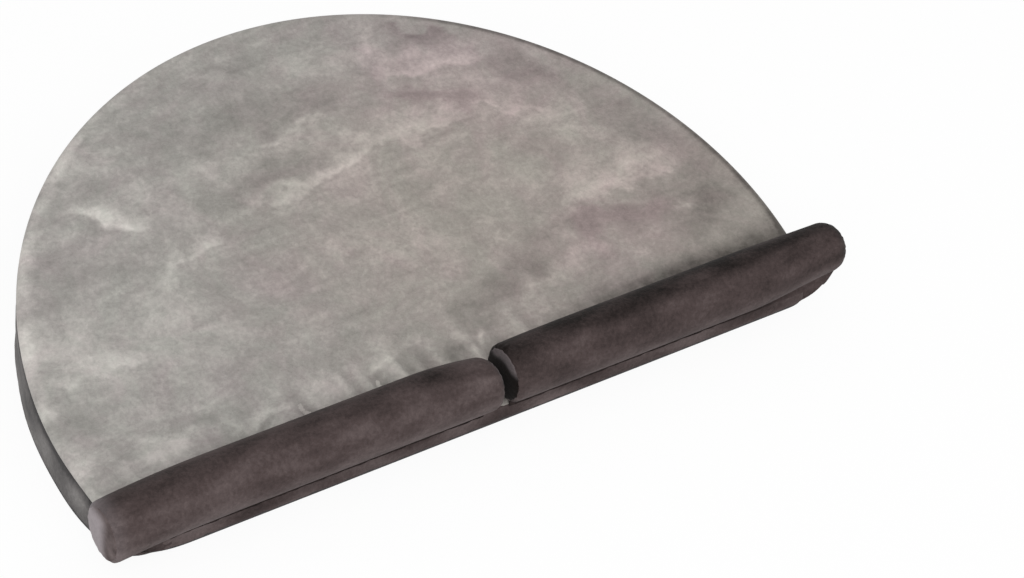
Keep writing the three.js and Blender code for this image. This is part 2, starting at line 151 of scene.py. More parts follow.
class ZipSizes(bpy.types.PropertyGroup):
    """Sizes of the zip round the back wall"""

    height: size("Height", "Middle of the teeth above the underside", SLIDER_RUN["pos_m"][2])
    travel: turn("Travel", "How far the slider runs round the curve", SLIDER_RUN["range_deg"][1])
    slot: size("Slot", "Between the two hemmed edges of the wall", 0.0106)
    tape_inset: size("Tape inset", "Tape behind the outer face", 0.0018)
    tape_thickness: size("Tape thickness", "Thickness of a tape", 0.0008)
    tape_width: size("Tape width", "Width of one tape", 0.012)
    tape_tail: size("Tape tail", "Tape past each end of the slot", 0.006)
    parting: size("Parting", "Between the two tapes", 0.0012)
    pitch: size("Tooth pitch", "From tooth to tooth in one row", 0.0032)
    tooth_width: size("Tooth width", "Width of a tooth", 0.0012)
    chain_height: size("Chain height", "Over both rows of teeth", 0.0052)
    chain_depth: size("Chain depth", "Depth of the teeth", 0.0015)
    spine: size("Spine", "Solid edge of one row", 0.001)
    stop: size("Stop", "Length of an end stop", 0.0025)
    slider_length: size("Slider length", "Length of the slider", 0.009)
    slider_wall: size("Slider wall", "Cheeks of the slider", 0.0008)
    slider_plate: size("Slider plate", "Plate of the slider", 0.001)
    hoop_length: size("Hoop length", "Hoop that carries the pull", 0.0064)
    hoop_width: size("Hoop width", "Width of the hoop's bar", 0.0016)
    hoop_bar: size("Hoop bar", "Thickness of the hoop's bar", 0.0008)
    pull_length: size("Pull length", "From the pivot to the tip", 0.023)
    pull_width: size("Pull width", "Width of the tab", 0.005)
    pull_thickness: size("Pull thickness", "Thickness of the tab", 0.0012)
    pull_arm: size("Pull arm", "Frame round the eye of the tab", 0.0012)
    pull_play: size("Pull play", "Room of the eye past the hoop", 0.00045)
    clearance: size("Clearance", "Between pieces that slide or touch", 0.0003)
    stitch: size("Stitch", "Length of one stitch along the hems", 0.0024)


class ClothColours(bpy.types.PropertyGroup):
    """Colours of the cloth, foam and zip"""

    # The ends of the top velvet's ramp also carry its painted shade along the right roll and the right rim
    # and its painted light along the left rim.
    pale_shade: paint("Pale shade", "Top velvet with its pile brushed down", 92, 88, 86)
    pale: paint("Pale", "Top velvet", 163, 158, 156)
    pale_light: paint("Pale light", "Top velvet with its pile brushed up", 226, 221, 217)
    blush: paint("Blush", "Mauve tint of the top velvet", 255, 245, 248)
    moss: paint("Moss", "Green tint of the top velvet", 251, 255, 250)
    warm: paint("Warm", "Brown tint of the top velvet", 255, 249, 245)
    # The ends of the roll velvet's ramp also carry the painted shade over the rolls' tops, in the slot and
    # under the rolls, and the painted light along their bottoms; the fourth roll colour is a painted sheen.
    dark_shade: paint("Dark shade", "Roll velvet on its shaded side", 20, 14, 12)
    dark: paint("Dark", "Roll velvet", 76, 65, 64)
    dark_light: paint("Dark light", "Roll velvet with its pile brushed up", 112, 100, 99)
    dark_frost: paint("Dark frost", "Roll velvet where its pile shows side on", 178, 170, 173)
    # The dark end of the wall's ramp also carries the painted shade under the top seam.
    wall_shade: paint("Wall shade", "Wall cloth in its folds", 74, 72, 72)
    wall: paint("Wall", "Wall cloth", 109, 106, 105)
    wall_light: paint("Wall light", "Wall cloth with its pile brushed up", 141, 138, 136)
    underside: paint("Underside", "Woven cloth of the underside", 74, 72, 72)
    foam: paint("Foam", "Foam of the cores", 228, 219, 196)
    tape: paint("Tape", "Zip tape", 62, 60, 60)
    teeth: paint("Teeth", "Moulded zip teeth", 74, 71, 71)
    metal: paint("Metal", "Zip slider, pull and stops", 150, 148, 145)


class StageLook(bpy.types.PropertyGroup):
    """Camera, lights and floor"""

    azimuth: turn("Azimuth", "Camera's turn to the left of the front", 38.008)
    elevation: turn("Elevation", "Camera above the horizon", 40.874)
    roll: turn("Roll", "Camera's tilt about its own axis", 6.663)
    distance: size("Distance", "From the camera to the point it looks at", 1.782177)
    target: FloatVectorProperty(
        name="Target", description="Point the camera looks at", default=(0.04142, -0.000675, 0.03),
        subtype="XYZ", unit="LENGTH", precision=4,
    )
    lens: FloatProperty(name="Lens", description="Focal length in millimetres", default=133.2, unit="CAMERA")
    sky: number("Sky", "Even light from all round", 0.66)
    key: number("Key", "Power of the soft key light in watts", 24)
    fill: number("Fill", "Power of the soft fill light in watts", 6)
    floor: paint("Floor", "Colour of the floor", 250, 250, 250)
    floor_glow: number("Floor glow", "Share of plain white in the floor that the camera sees", 0.93)


# Shader expressions


class Value:
    """A socket of a shader tree. Arithmetic with numbers or other values adds Math nodes to the tree."""

    def __init__(self, finish, socket):
        self.finish = finish
        self.socket = socket

    def math(self, operation, first, second):
        """One Math node."""
        return self.finish.node("ShaderNodeMath", {"operation": operation}, {0: first, 1: second})

    def __add__(self, other):
        return self.math("ADD", self, other)

    def __radd__(self, other):
        return self.math("ADD", other, self)

    def __sub__(self, other):
        return self.math("SUBTRACT", self, other)

    def __rsub__(self, other):
        return self.math("SUBTRACT", other, self)

    def __mul__(self, other):
        return self.math("MULTIPLY", self, other)

    def __rmul__(self, other):
        return self.math("MULTIPLY", other, self)

    def swing(self, amount):
        """A value between 0 and 1 as a swing about 0, an amount wide from end to end."""
        return (self - 0.5) * amount


class Finish:
    """A new material or world whose nodes are written as expressions."""

    def __init__(self, owner):
        owner.use_nodes = True
        self.owner = owner
        self.tree = owner.node_tree
        self.tree.nodes.clear()

    def node(self, kind, settings=None, sockets=None, output=0):
        """Adds a node, sets it up, then sets or links its sockets, and gives one output as a Value."""
        made = self.tree.nodes.new(kind)
        for key, setting in (settings or {}).items():
            if key == "stops":
                self.set_stops(made.color_ramp, setting)
            else:
                setattr(made, key, setting)
        for key, given in (sockets or {}).items():
            if isinstance(given, Value):
                self.tree.links.new(given.socket, made.inputs[key])
            else:
                made.inputs[key].default_value = given
        return Value(self, made.outputs[output]) if made.outputs else None

    @staticmethod
    def set_stops(ramp, stops):
        """Gives a colour ramp its places and colours."""
        ramp.interpolation = "LINEAR"
        while len(ramp.elements) < len(stops):
            ramp.elements.new(0.5)
        for element, (place, colour) in zip(ramp.elements, stops):
            element.position = place
            element.color = colour

    def position(self):
        """Place on the object in metres."""
        return self.node("ShaderNodeTexCoord", None, None, "Object")

    def pattern(self):
        """Place on the cloth in metres, along and across it."""
        return self.node("ShaderNodeUVMap", {"uv_map": "cloth"})

    def mark(self, name):
        """A value painted on the mesh, such as how the pile lies, with painted light and shade."""
        return self.node("ShaderNodeAttribute", {"attribute_name": name}, None, "Fac")

    def mapped(self, vector, scale, degrees=0):
        """A vector turned about Z and scaled."""
        rotation = (0, 0, math.radians(degrees))
        return self.node("ShaderNodeMapping", None, {"Vector": vector, "Rotation": rotation, "Scale": scale})

    def noise(self, vector, scale, detail=2, roughness=0.5, distortion=0):
        """Soft noise between 0 and 1, with spots about 1 / scale metres across."""
        sockets = {"Vector": vector, "Scale": scale, "Detail": detail}
        sockets |= {"Roughness": roughness, "Distortion": distortion}
        return self.node("ShaderNodeTexNoise", None, sockets)

    def waves(self, vector, pitch, direction):
        """Even ripples between 0 and 1 along one axis of a vector, a pitch apart."""
        settings = {"wave_type": "BANDS", "bands_direction": direction, "wave_profile": "SIN"}
        return self.node("ShaderNodeTexWave", settings, {"Vector": vector, "Scale": math.pi / 10 / pitch})

    def ramp(self, value, *colours):
        """A colour picked by a value between 0 and 1 from an even row of colours."""
        stops = list(zip(spread(0, 1, len(colours) - 1), map(opaque, colours)))
        return self.node("ShaderNodeValToRGB", {"stops": stops}, {"Fac": value})

    def mix(self, factor, first, second, kind="MIX"):
        """Two colours mixed by a factor."""
        settings = {"data_type": "RGBA", "blend_type": kind, "clamp_factor": True}
        return self.node("ShaderNodeMix", settings, {0: factor, 6: first, 7: second}, 2)

    def times(self, first, second):
        """Two colours multiplied."""
        return self.mix(1.0, first, second, "MULTIPLY")

    def grey(self, value):
        """A value as a grey colour."""
        return self.node("ShaderNodeCombineColor", None, {0: value, 1: value, 2: value})

    def seen(self):
        """1 for what the camera sees, straight or in a reflection or through glass, and 0 for light."""
        rays = ("Is Camera Ray", "Is Glossy Ray", "Is Transmission Ray")
        camera, glossy, through = (self.node("ShaderNodeLightPath", None, None, ray) for ray in rays)
        return camera + glossy + through

    def bump(self, height, depth, strength):
        """A normal raised by a height between 0 and 1 times a depth in metres."""
        return self.node("ShaderNodeBump", None, {"Height": height, "Distance": depth, "Strength": strength})

    def surface(self, **sockets):
        """Closes the material with a Principled shader."""
        named = {key.replace("_", " "): given for key, given in sockets.items()}
        shader = self.node("ShaderNodeBsdfPrincipled", None, named)
        self.node("ShaderNodeOutputMaterial", None, {"Surface": shader})
        return self.owner


def opaque(colour):
    """A colour property as the four numbers of a colour socket."""
    return (*colour, 1.0)


def finish_once(make):
    """Makes a material on its first use only, named after the function that makes it."""

    @functools.wraps(make)
    def once(colours):
        found = bpy.data.materials.get(make.__name__)
        return found or make(Finish(bpy.data.materials.new(make.__name__)), colours)

    return once


@finish_once
def top_velvet(finish, colours):
    """Velvet whose pile lies in brushed patches: strokes, warped noise, tints and a fine fibre grain.
    Its painted mark for the pile also brings painted light and shade.
    """
    place = finish.position()
    slanted = finish.mapped(place, (14, 44, 30), 22)
    brushed = finish.noise(slanted, 1, detail=6, roughness=0.62, distortion=1.6)
    patches = finish.noise(place, 30, detail=6, roughness=0.64, distortion=1.2)
    flecks = finish.noise(place, 120, detail=4, roughness=0.62, distortion=0.8)
    fuzz = finish.noise(place, 420, detail=4, roughness=0.65, distortion=0.4)
    fibre = finish.noise(finish.mapped(place, (1500, 2600, 2000), 30), 1)
    cast = finish.noise(place, 34, detail=4, roughness=0.6, distortion=1.0)
    brushy = brushed.swing(0.4) + patches.swing(0.42)
    painted = finish.mark("nap") * (0.14 + patches * 0.36)
    lay_and_shading = painted + brushy + flecks.swing(0.29) + fuzz.swing(0.26) + 0.5
    tone = finish.ramp(lay_and_shading, colours.pale_shade, colours.pale, colours.pale_light)
    mauve = finish.mark("blush") * 0.7 + cast.swing(1.6) + flecks.swing(0.5) + 0.2
    tint = finish.mix(mauve, opaque(colours.moss), opaque(colours.blush))
    warm = finish.mix(finish.mark("warm"), tint, opaque(colours.warm), "MULTIPLY")
    grain = finish.grey(0.95 + fibre.swing(0.22) + fuzz.swing(0.2))
    return finish.surface(
        Base_Color=finish.times(finish.times(tone, warm), grain),
        Roughness=0.8 + fuzz * 0.2,
        Normal=finish.bump(fibre * 0.5 + fuzz * 0.8 + lay_and_shading * 0.6, 0.0006, 0.55),
        Sheen_Weight=0.12,
        Sheen_Roughness=0.5,
        Specular_IOR_Level=0.25,
    )


def plain_velvet(finish, shade, middle, light, sheen_colour):
    """Short velvet: pile that leans by a painted mark, soft streaks, a fine fibre grain and a painted sheen
    at the ends.
    The mark for the lean also carries painted light and shade.
    """
    place = finish.position()
    along = finish.mapped(place, (16, 60, 60))
    streaks = finish.noise(along, 1, detail=6, roughness=0.64, distortion=1.0)
    flecks = finish.noise(place, 140, detail=4, roughness=0.62, distortion=0.8)
    fuzz = finish.noise(place, 480, detail=4, roughness=0.65, distortion=0.3)
    fibre = finish.noise(finish.mapped(place, (1500, 2600, 2200)), 1)
    brushy = streaks.swing(0.28) + flecks.swing(0.24)
    lay_and_shading = finish.mark("nap") * 0.4 + brushy + fuzz.swing(0.46) + 0.5
    leaning_and_shaded = finish.ramp(lay_and_shading, shade, middle, light)
    # The second mark mixes in a painted sheen colour, pale where the pile would catch the light side on.
    tone = finish.mix(finish.mark("frost") * (0.8 + flecks * 0.4), leaning_and_shaded, opaque(sheen_colour))
    grain = finish.grey(0.94 + fibre.swing(0.32) + fuzz.swing(0.32))
    return finish.surface(
        Base_Color=finish.times(tone, grain),
        Roughness=0.78 + fuzz * 0.2,
        Normal=finish.bump(fibre * 0.5 + fuzz * 0.8 + lay_and_shading * 0.5, 0.0006, 0.5),
        Sheen_Weight=0.05,
        Sheen_Roughness=0.45,
        Specular_IOR_Level=0.12,
    )


@finish_once
def roll_velvet(finish, colours):
    """Dark velvet of the rolls and of the strip under them."""
    return plain_velvet(finish, colours.dark_shade, colours.dark, colours.dark_light, colours.dark_frost)


@finish_once
def wall_velvet(finish, colours):
    """Grey velvet of the wall, which has no painted sheen."""
    return plain_velvet(finish, colours.wall_shade, colours.wall, colours.wall_light, colours.wall_light)


@finish_once
def underside_weave(finish, colours):
    """Plain weave: warp and weft ripples 0.9 mm apart, that pass over each other in turn."""
    place = finish.position()
    thread = 0.0009
    weft = finish.waves(place, thread, "X")
    warp = finish.waves(place, thread, "Y")
    weave = weft * (1 - warp) + warp * (1 - weft)
    slub = finish.noise(finish.mapped(place, (60, 900, 60)), 1, detail=3)
    wear = finish.noise(place, 18, detail=4, roughness=0.6)
    shade = finish.grey(0.62 + weave * 0.3 + slub * 0.2 + wear.swing(0.25))
    return finish.surface(
        Base_Color=finish.times(opaque(colours.underside), shade),
        Roughness=0.85 + slub * 0.1,
        Normal=finish.bump(weave + slub * 0.4, 0.0003, 0.6),
    )


@finish_once
def open_cell_foam(finish, colours):
    """Open-cell foam: fine cells with darker pores."""
    place = finish.position()
    cells = finish.node("ShaderNodeTexVoronoi", None, {"Vector": place, "Scale": 900}, "Distance")
    cast = finish.noise(place, 30, detail=3)
    shade = finish.grey(0.8 + cells * 0.25 + cast.swing(0.15))
    return finish.surface(
        Base_Color=finish.times(opaque(colours.foam), shade),
        Roughness=0.9 + cells * 0.1,
        Normal=finish.bump(cells, 0.0005, 0.6),
    )


@finish_once
def tape_weave(finish, colours):
    """Zip tape: a fine herringbone of ribs along the tape, with a slightly worn face."""
    cloth = finish.pattern()
    ribs = finish.waves(cloth, 0.0007, "Y")
    slant = finish.waves(finish.mapped(cloth, (1, 1, 1), 35), 0.0008, "X")
    fluff = finish.noise(finish.position(), 700, detail=3)
    shade = finish.grey(0.6 + ribs * 0.25 + slant * 0.2 + fluff * 0.2)
    return finish.surface(
        Base_Color=finish.times(opaque(colours.tape), shade),
        Roughness=0.8 + fluff * 0.15,
        Normal=finish.bump(ribs * 0.6 + slant * 0.4, 0.0002, 0.7),
    )


@finish_once
def moulded_teeth(finish, colours):
    """Moulded plastic with a faint texture and rubbed edges."""
    place = finish.position()
    mould = finish.noise(place, 1800, detail=3)
    wear_and_rim_light = finish.noise(place, 240, detail=3)
    return finish.surface(
        Base_Color=finish.times(opaque(colours.teeth), finish.grey(0.85 + wear_and_rim_light.swing(0.4))),
        Roughness=0.38 + mould * 0.25,
        Normal=finish.bump(mould, 0.00005, 0.5),
    )


@finish_once
def tumbled_zinc(finish, colours):
    """Tumbled zinc with a satin plating: fine scuffs over a soft mottle."""
    place = finish.position()
    scuffs = finish.noise(finish.mapped(place, (300, 3200, 900), 20), 1, detail=4, roughness=0.7)
    mottle = finish.noise(place, 260, detail=3)
    shade = finish.grey(0.86 + mottle.swing(0.25) + scuffs.swing(0.2))
    return finish.surface(
        Base_Color=finish.times(opaque(colours.metal), shade),
        Metallic=1.0,
        Roughness=0.26 + scuffs * 0.25,
        Normal=finish.bump(scuffs, 0.00004, 0.4),
    )


# Meshes from grids of points


class Shell(NamedTuple):
    """Grids of points, copies x columns x rows x 3. A grid may close on itself along columns or rows."""

    points: np.ndarray
    around: bool = False
    across: bool = False
    pattern: np.ndarray = None
    marks: dict = {}


def single(points, marks=None, **rest):
    """A shell of one grid, with the marks that are painted on its points."""
    painted = {name: np.asarray(mark)[None] for name, mark in (marks or {}).items()}
    return Shell(points[None], marks=painted, **rest)


def span_starts(count, closed):
    """Start index of each span of a grid line."""
    return np.arange(count if closed else count - 1)


def shell_faces(shell, offset):
    """Corner indices of each quad, and the columns and rows that they come from before they wrap."""
    copies, columns, rows, _ = shell.points.shape
    starts = span_starts(columns, shell.around), span_starts(rows, shell.across)
    column, row = np.meshgrid(*starts, indexing="ij")
    corner_column = np.stack([column, column + 1, column + 1, column], -1).reshape(-1, 4)
    corner_row = np.stack([row, row, row + 1, row + 1], -1).reshape(-1, 4)
    flat = (corner_column % columns) * rows + corner_row % rows
    starts = offset + np.arange(copies) * columns * rows
    return (starts[:, None, None] + flat).reshape(-1, 4), corner_column, corner_row


def shell_ends(shell, offset):
    """The two end faces of a grid whose rows close but whose columns don't."""
    copies, columns, rows, _ = shell.points.shape
    if shell.around or not shell.across:
        return []
    starts = offset + np.arange(copies) * columns * rows
    ends = [start + np.arange(rows)[::-1] for start in starts]
    ends += [start + (columns - 1) * rows + np.arange(rows) for start in starts]
    return ends


def make_mesh(name, shells):
    """A closed mesh from grids: quads between neighbours, end faces, merged poles and outward normals."""
    vertices = np.concatenate([shell.points.reshape(-1, 3) for shell in shells])
    faces, patterns, offset = [], [], 0
    for shell in shells:
        quads, column, row = shell_faces(shell, offset)
        ends = shell_ends(shell, offset)
        faces += [quads, *ends]
        if shell.pattern is not None:
            patterns.append(np.tile(shell.pattern[column, row].reshape(-1, 2), (len(shell.points), 1)))
            patterns += [np.zeros((len(end), 2)) for end in ends]
        offset += shell.points.size // 3
    totals = np.concatenate([np.full(len(f), 4) if f.ndim == 2 else [len(f)] for f in faces])
    corners = np.concatenate([f.ravel() for f in faces])
    mesh = bpy.data.meshes.new(name)
    mesh.vertices.add(len(vertices))
    mesh.vertices.foreach_set("co", vertices.astype(np.float32).ravel())
    mesh.loops.add(len(corners))
    mesh.loops.foreach_set("vertex_index", corners.astype(np.int32))
    mesh.polygons.add(len(totals))
    mesh.polygons.foreach_set("loop_start", (np.cumsum(totals) - totals).astype(np.int32))
    mesh.polygons.foreach_set("use_smooth", np.ones(len(totals), bool))
    if patterns:
        layer = mesh.uv_layers.new(name="cloth")
        layer.data.foreach_set("uv", np.concatenate(patterns).astype(np.float32).ravel())
    for key in shells[0].marks:
        painted = mesh.attributes.new(key, "FLOAT", "POINT")
        values = np.concatenate([np.broadcast_to(s.marks[key], s.points.shape[:3]).ravel() for s in shells])
        painted.data.foreach_set("value", values.astype(np.float32))
    mesh.update(calc_edges=True)
    mesh.validate()
    close_mesh(mesh)
    return mesh


def close_mesh(mesh, merge=2e-6, sharp=math.radians(55)):
    """Merges the points of poles and seams, turns all faces outwards and keeps sharp folds sharp."""
    work = bmesh.new()
    work.from_mesh(mesh)
    bmesh.ops.remove_doubles(work, verts=work.verts, dist=merge)
    bmesh.ops.recalc_face_normals(work, faces=work.faces)
    work.to_mesh(mesh)
    work.free()
    mesh.set_sharp_from_angle(angle=sharp)


def make_piece(name, shells, material, body, slot, *nodes):
    """A piece of the object: a mesh with its finish, the CAD nodes that it stands for and its body."""
    piece = bpy.data.objects.new(name, make_mesh(name, shells))
    bpy.context.scene.collection.objects.link(piece)
    piece.data.materials.append(material)
    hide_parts(*nodes)
    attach(piece, body)
    return piece


def spread(start, stop, spans):
    """Even steps from one limit to another, both included."""
    return np.linspace(start, stop, spans + 1)


def right_round(count):
    """Even directions right round."""
    return np.arange(count) * TURN / count


def ease(share):
    """Smooth step from 0 to 1."""
    share = np.clip(share, 0, 1)
    return share * share * (3 - 2 * share)


def between(place, start, rise, stop, fall):
    """Smooth step from 0 at a start up to 1, and down again to 0 at a stop."""
    return ease((place - start) / rise) * ease((stop - place) / fall)


def bell(place, reach):
    """1 in the middle, falling off as a bell curve on both sides."""
    return np.exp(-((place / reach) ** 2))


def raised(plan, height):
    """Plan positions with their heights."""
    return np.concatenate([plan, height[..., None]], -1)


def round_square(count, power):
    """Points round a square of half width 1 with soft corners: cosine and sine to a power, signs kept."""
    across, up = np.cos(right_round(count)), np.sin(right_round(count))
    return np.sign(across) * np.abs(across) ** power, np.sign(up) * np.abs(up) ** power


def ripples(place, lengths, seed):
    """A sum of sine waves of the given wavelengths with seeded phases, between about -1 and 1."""
    phases = np.random.default_rng(seed).uniform(0, TURN, len(lengths))
    waves = [np.sin(TURN * place / length + phase) for length, phase in zip(lengths, phases)]
    return np.sum(waves, axis=0) / len(lengths) ** 0.5


def lumps(x, y, length, seed, waves=10):
    """Soft lumps about a length apart: plane waves in seeded directions, between about -1 and 1."""
    draw = np.random.default_rng(seed)
    angles = draw.uniform(0, TURN, waves)
    lengths = length * draw.uniform(0.7, 1.6, waves)
    phases = draw.uniform(0, TURN, waves)
    runs = x[..., None] * np.cos(angles) + y[..., None] * np.sin(angles)
    return np.sin(TURN * runs / lengths + phases).sum(-1) / waves**0.5


# Cloth simulation

SWELL_FRAMES = 20
BENDING_STIFFNESS = 5
NEXT_TO_NOTHING = 1e-12
HELD_WITHIN = 0.6  # reach of a line or face that holds the cloth, in voxels
SEWN_BELOW = 0.97  # height below a roll's axis from which it is sewn down, as a share of its radius


class Swell(NamedTuple):
    """Points of a simulated pad before and after it was blown up."""

    rest: np.ndarray
    shift: np.ndarray

    def at(self, points, reach, block=600):
        """Shift at any points: the mean shift of simulated points near them, by a bell of a given reach."""
        flat = points.reshape(-1, 3).astype(np.float32)
        rest = self.rest.astype(np.float32)
        shift = self.shift.astype(np.float32)
        found = np.zeros_like(flat)
        for start in range(0, len(flat), block):
            part = flat[start : start + block]
            square = (part**2).sum(1)[:, None] + (rest**2).sum(1) - 2 * part @ rest.T
            weight = np.exp(-np.maximum(square, 0) / (2 * reach**2)) + NEXT_TO_NOTHING
            found[start : start + block] = weight @ shift / weight.sum(1, keepdims=True)
        return found.reshape(points.shape)


def blow_up(shell, voxel, pressure, cap, held):
    """Remeshes a closed shell to voxels, blows it up as cloth for some frames and caps how far it moved.

    held is a function of the points that is true where the cloth is sewn down and can't move.
    """
    scene = bpy.context.scene
    pad = bpy.data.objects.new("swelling_pad", make_mesh("swelling_pad", [shell]))
    scene.collection.objects.link(pad)
    remesh = pad.modifiers.new("voxels", "REMESH")
    remesh.mode = "VOXEL"
    remesh.voxel_size = voxel
    graph = bpy.context.evaluated_depsgraph_get()
    pad.data = bpy.data.meshes.new_from_object(pad.evaluated_get(graph))
    pad.modifiers.clear()
    rest = vertex_places(pad.data)
    sewn = pad.vertex_groups.new(name="sewn")
    sewn.add(np.flatnonzero(held(rest)).tolist(), 1.0, "REPLACE")
    cloth = pad.modifiers.new("cloth", "CLOTH")
    cloth.settings.vertex_group_mass = "sewn"
    cloth.settings.use_pressure = True
    cloth.settings.uniform_pressure_force = pressure
    cloth.settings.effector_weights.gravity = 0
    cloth.settings.bending_stiffness = BENDING_STIFFNESS
    for step in range(1, SWELL_FRAMES + 1):
        scene.frame_set(step)
    graph = bpy.context.evaluated_depsgraph_get()
    moved = vertex_places(pad.evaluated_get(graph).data)
    scene.frame_set(1)
    bpy.data.objects.remove(pad)
    shift = moved - rest
    far = np.linalg.norm(shift, axis=1, keepdims=True)
    return Swell(rest, shift * (cap * np.tanh(far / cap) / np.maximum(far, NEXT_TO_NOTHING)))


def vertex_places(mesh):
    """Vertices of a mesh as rows of three numbers."""
    places = np.zeros(len(mesh.vertices) * 3, np.float32)
    mesh.vertices.foreach_get("co", places)
    return places.reshape(-1, 3).astype(float)


# Cushion

WALL_LOW = 0.8  # bottom of the wall, in thicknesses of the fabric
SEAM_LAP = 0.3  # top of the wall over the rim's seam, in thicknesses of the fabric
FLARE_AT_RIM = 0.6  # how far the rim draws in where the bottom of the wall stands out, as a share of that
FLARE_BEFORE_CORNER = 0.02
FLARE_REACH = 0.028


class Line(NamedTuple):
    """Stations along the outline: plan position, outward direction, share of the back tuck, distance."""

    place: np.ndarray
    outward: np.ndarray
    back: np.ndarray
    run: np.ndarray

    def inside(self, inset):
        """Plan positions moved inwards."""
        return self.place - np.asarray(inset)[..., None] * self.outward


class Cushion:
    """The cushion's plan outline and heights, worked out from its sizes.

    The outline runs against the clock from the right end of the straight front: a corner arc, the round
    back, the other corner arc and the front line.
    """

    def __init__(self, sizes):
        self.sizes = sizes
        self.slope = math.tan(sizes.wedge_angle)
        self.corner_y = sizes.corner_radius - sizes.front_distance
        reach = sizes.outline_radius - sizes.corner_radius
        self.corner_x = math.sqrt(reach**2 - self.corner_y**2)
        self.corner_end = math.atan2(self.corner_y, self.corner_x)
        self.corner_run = sizes.corner_radius * (self.corner_end + math.pi / 2)
        self.back_run = sizes.outline_radius * (math.pi - 2 * self.corner_end)
        self.front_run = 2 * self.corner_x
        self.middle = np.array([0, (sizes.outline_radius - sizes.front_distance) / 2])
        self.wall_low = sizes.fabric * WALL_LOW

    def along(self, run):
        """Stations at distances along the outline."""
        radius, corner = self.sizes.outline_radius, self.sizes.corner_radius
        runs = [self.corner_run, self.back_run, self.corner_run, self.front_run]
        starts = np.concatenate([[0], np.cumsum(runs)])
        wrapped = np.mod(run, starts[-1])
        stretch = np.clip(np.searchsorted(starts, wrapped, side="right") - 1, 0, 3)
        past = wrapped - starts[stretch]
        angle = np.choose(
            stretch,
            [
                past / corner - math.pi / 2,
                past / radius + self.corner_end,
                past / corner + math.pi - self.corner_end,
                np.full_like(past, -math.pi / 2),
            ],
        )
        reach = np.choose(stretch, [corner, radius, corner, 0.0])
        zero = np.zeros_like(past)
        centres = [zero + self.corner_x, zero, zero - self.corner_x, past - self.corner_x]
        centre_x = np.choose(stretch, centres)
        centre_y = np.choose(stretch, [self.corner_y, 0.0, self.corner_y, -self.sizes.front_distance])
        share = past / self.corner_run
        back = np.choose(stretch, [share, zero + 1, 1 - share, zero])
        outward = np.stack([np.cos(angle), np.sin(angle)], -1)
        place = np.stack([centre_x, centre_y], -1) + reach[..., None] * outward
        return Line(place, outward, np.clip(back, 0, 1), np.asarray(run, float))

    def whole(self, back_step, front_step):
        """Stations right round the outline, closer together along the front."""
        corner_spans = math.ceil(self.corner_run / front_step)
        runs, start = [], 0
        for length, spans in (
            (self.corner_run, corner_spans),
            (self.back_run, math.ceil(self.back_run / back_step)),
            (self.corner_run, corner_spans),
            (self.front_run, math.ceil(self.front_run / front_step)),
        ):
            runs.append(start + spread(0, length, spans)[:-1])
            start += length
        return self.along(np.concatenate(runs))

    def arc(self, low, high, step):
        """Stations of the round back between two directions."""
        from_start = self.corner_run - self.sizes.outline_radius * self.corner_end
        runs = from_start + self.sizes.outline_radius * np.array([low, high])
        return self.along(spread(*runs, math.ceil((runs[1] - runs[0]) / step)))

    def front(self, step):
        """Stations of the straight front with both corners, from left to right."""
        start = self.corner_run + self.back_run
        length = 2 * self.corner_run + self.front_run
        return self.along(start + spread(0, length, math.ceil(length / step)))

    def plane(self, y):
        """Height of the sloping top."""
        return self.sizes.front_height + (y + self.sizes.front_distance) * self.slope

    def tuck(self, line):
        """Turn of the rim at its seam, which changes round the front corners."""
        return self.sizes.tuck_front + (self.sizes.tuck_back - self.sizes.tuck_front) * line.back

    def rim(self, line, share, depth=0.0):
        """Ring of the rim at a share of its turn from the seam to the top, at a depth in the fabric."""
        radius = self.sizes.rim_radius
        angle = self.tuck(line) + (math.pi / 2 - self.tuck(line)) * share
        inset = radius * (1 - np.cos(angle)) + depth * np.cos(angle)
        plan = line.inside(inset + FLARE_AT_RIM * self.flare(line))
        height = self.plane(plan[..., 1]) - radius * (1 - np.sin(angle)) - depth * np.sin(angle)
        return raised(plan, height)

    def ring(self, line, share, depth=0.0):
        """Ring of the crowned top, shrunk to a share of the rim's inner line."""
        inset = self.sizes.rim_radius + FLARE_AT_RIM * self.flare(line)
        return self.crowned(line, inset, share, depth)

    def crowned(self, line, inset, share, depth):
        """Ring of the sloping top, inset and shrunk to a share, raised by a crown in its middle."""
        plan = self.middle + (line.inside(inset) - self.middle) * share
        return raised(plan, self.plane(plan[..., 1]) + self.sizes.crown * (1 - share**2) ** 2 - depth)

    def level(self, line, inset, share, height):
        """Ring of a flat face, inset and shrunk to a share."""
        plan = self.middle + (line.inside(inset - self.flare(line)) - self.middle) * share
        return raised(plan, np.full_like(plan[..., 0], height))

    def wall_top(self, line):
        """Top edge of the wall, just behind the rim's seam."""
        return self.rim(line, 0.0)[..., 2] + SEAM_LAP * self.sizes.fabric

    def flare(self, line):
        """How far the bottom of the wall stands out: a bell along the outline by the left front corner."""
        past = line.run - self.corner_run - self.back_run + FLARE_BEFORE_CORNER
        return self.sizes.flare * bell(past, FLARE_REACH)

    def wall_inset(self, line, height):
        """The wall bows out between its seams, draws in at both of them and flares at one corner."""
        share = np.clip((height - self.wall_low) / (self.wall_top(line) - self.wall_low), 0, 1)
        rim_draw = self.sizes.rim_radius * (1 - np.cos(self.tuck(line)))
        draw = self.sizes.bottom_draw + (rim_draw - self.sizes.bottom_draw) * share
        return draw * (2 * share - 1) ** 4 - self.flare(line) * (1 - (1 + FLARE_AT_RIM) * share)

    def wall_point(self, line, height, depth):
        """A point of the wall at a height and at a depth in the fabric."""
        return raised(line.inside(self.wall_inset(line, height) + depth), height)


def cushion_of(context):
    """The cushion at the sizes that are set in the scene."""
    return Cushion(context.scene.lap_desk_cushion)


def stacked(rings):
    """Rings of points as a grid, columns x rows x 3."""
    return np.stack(rings, axis=1)


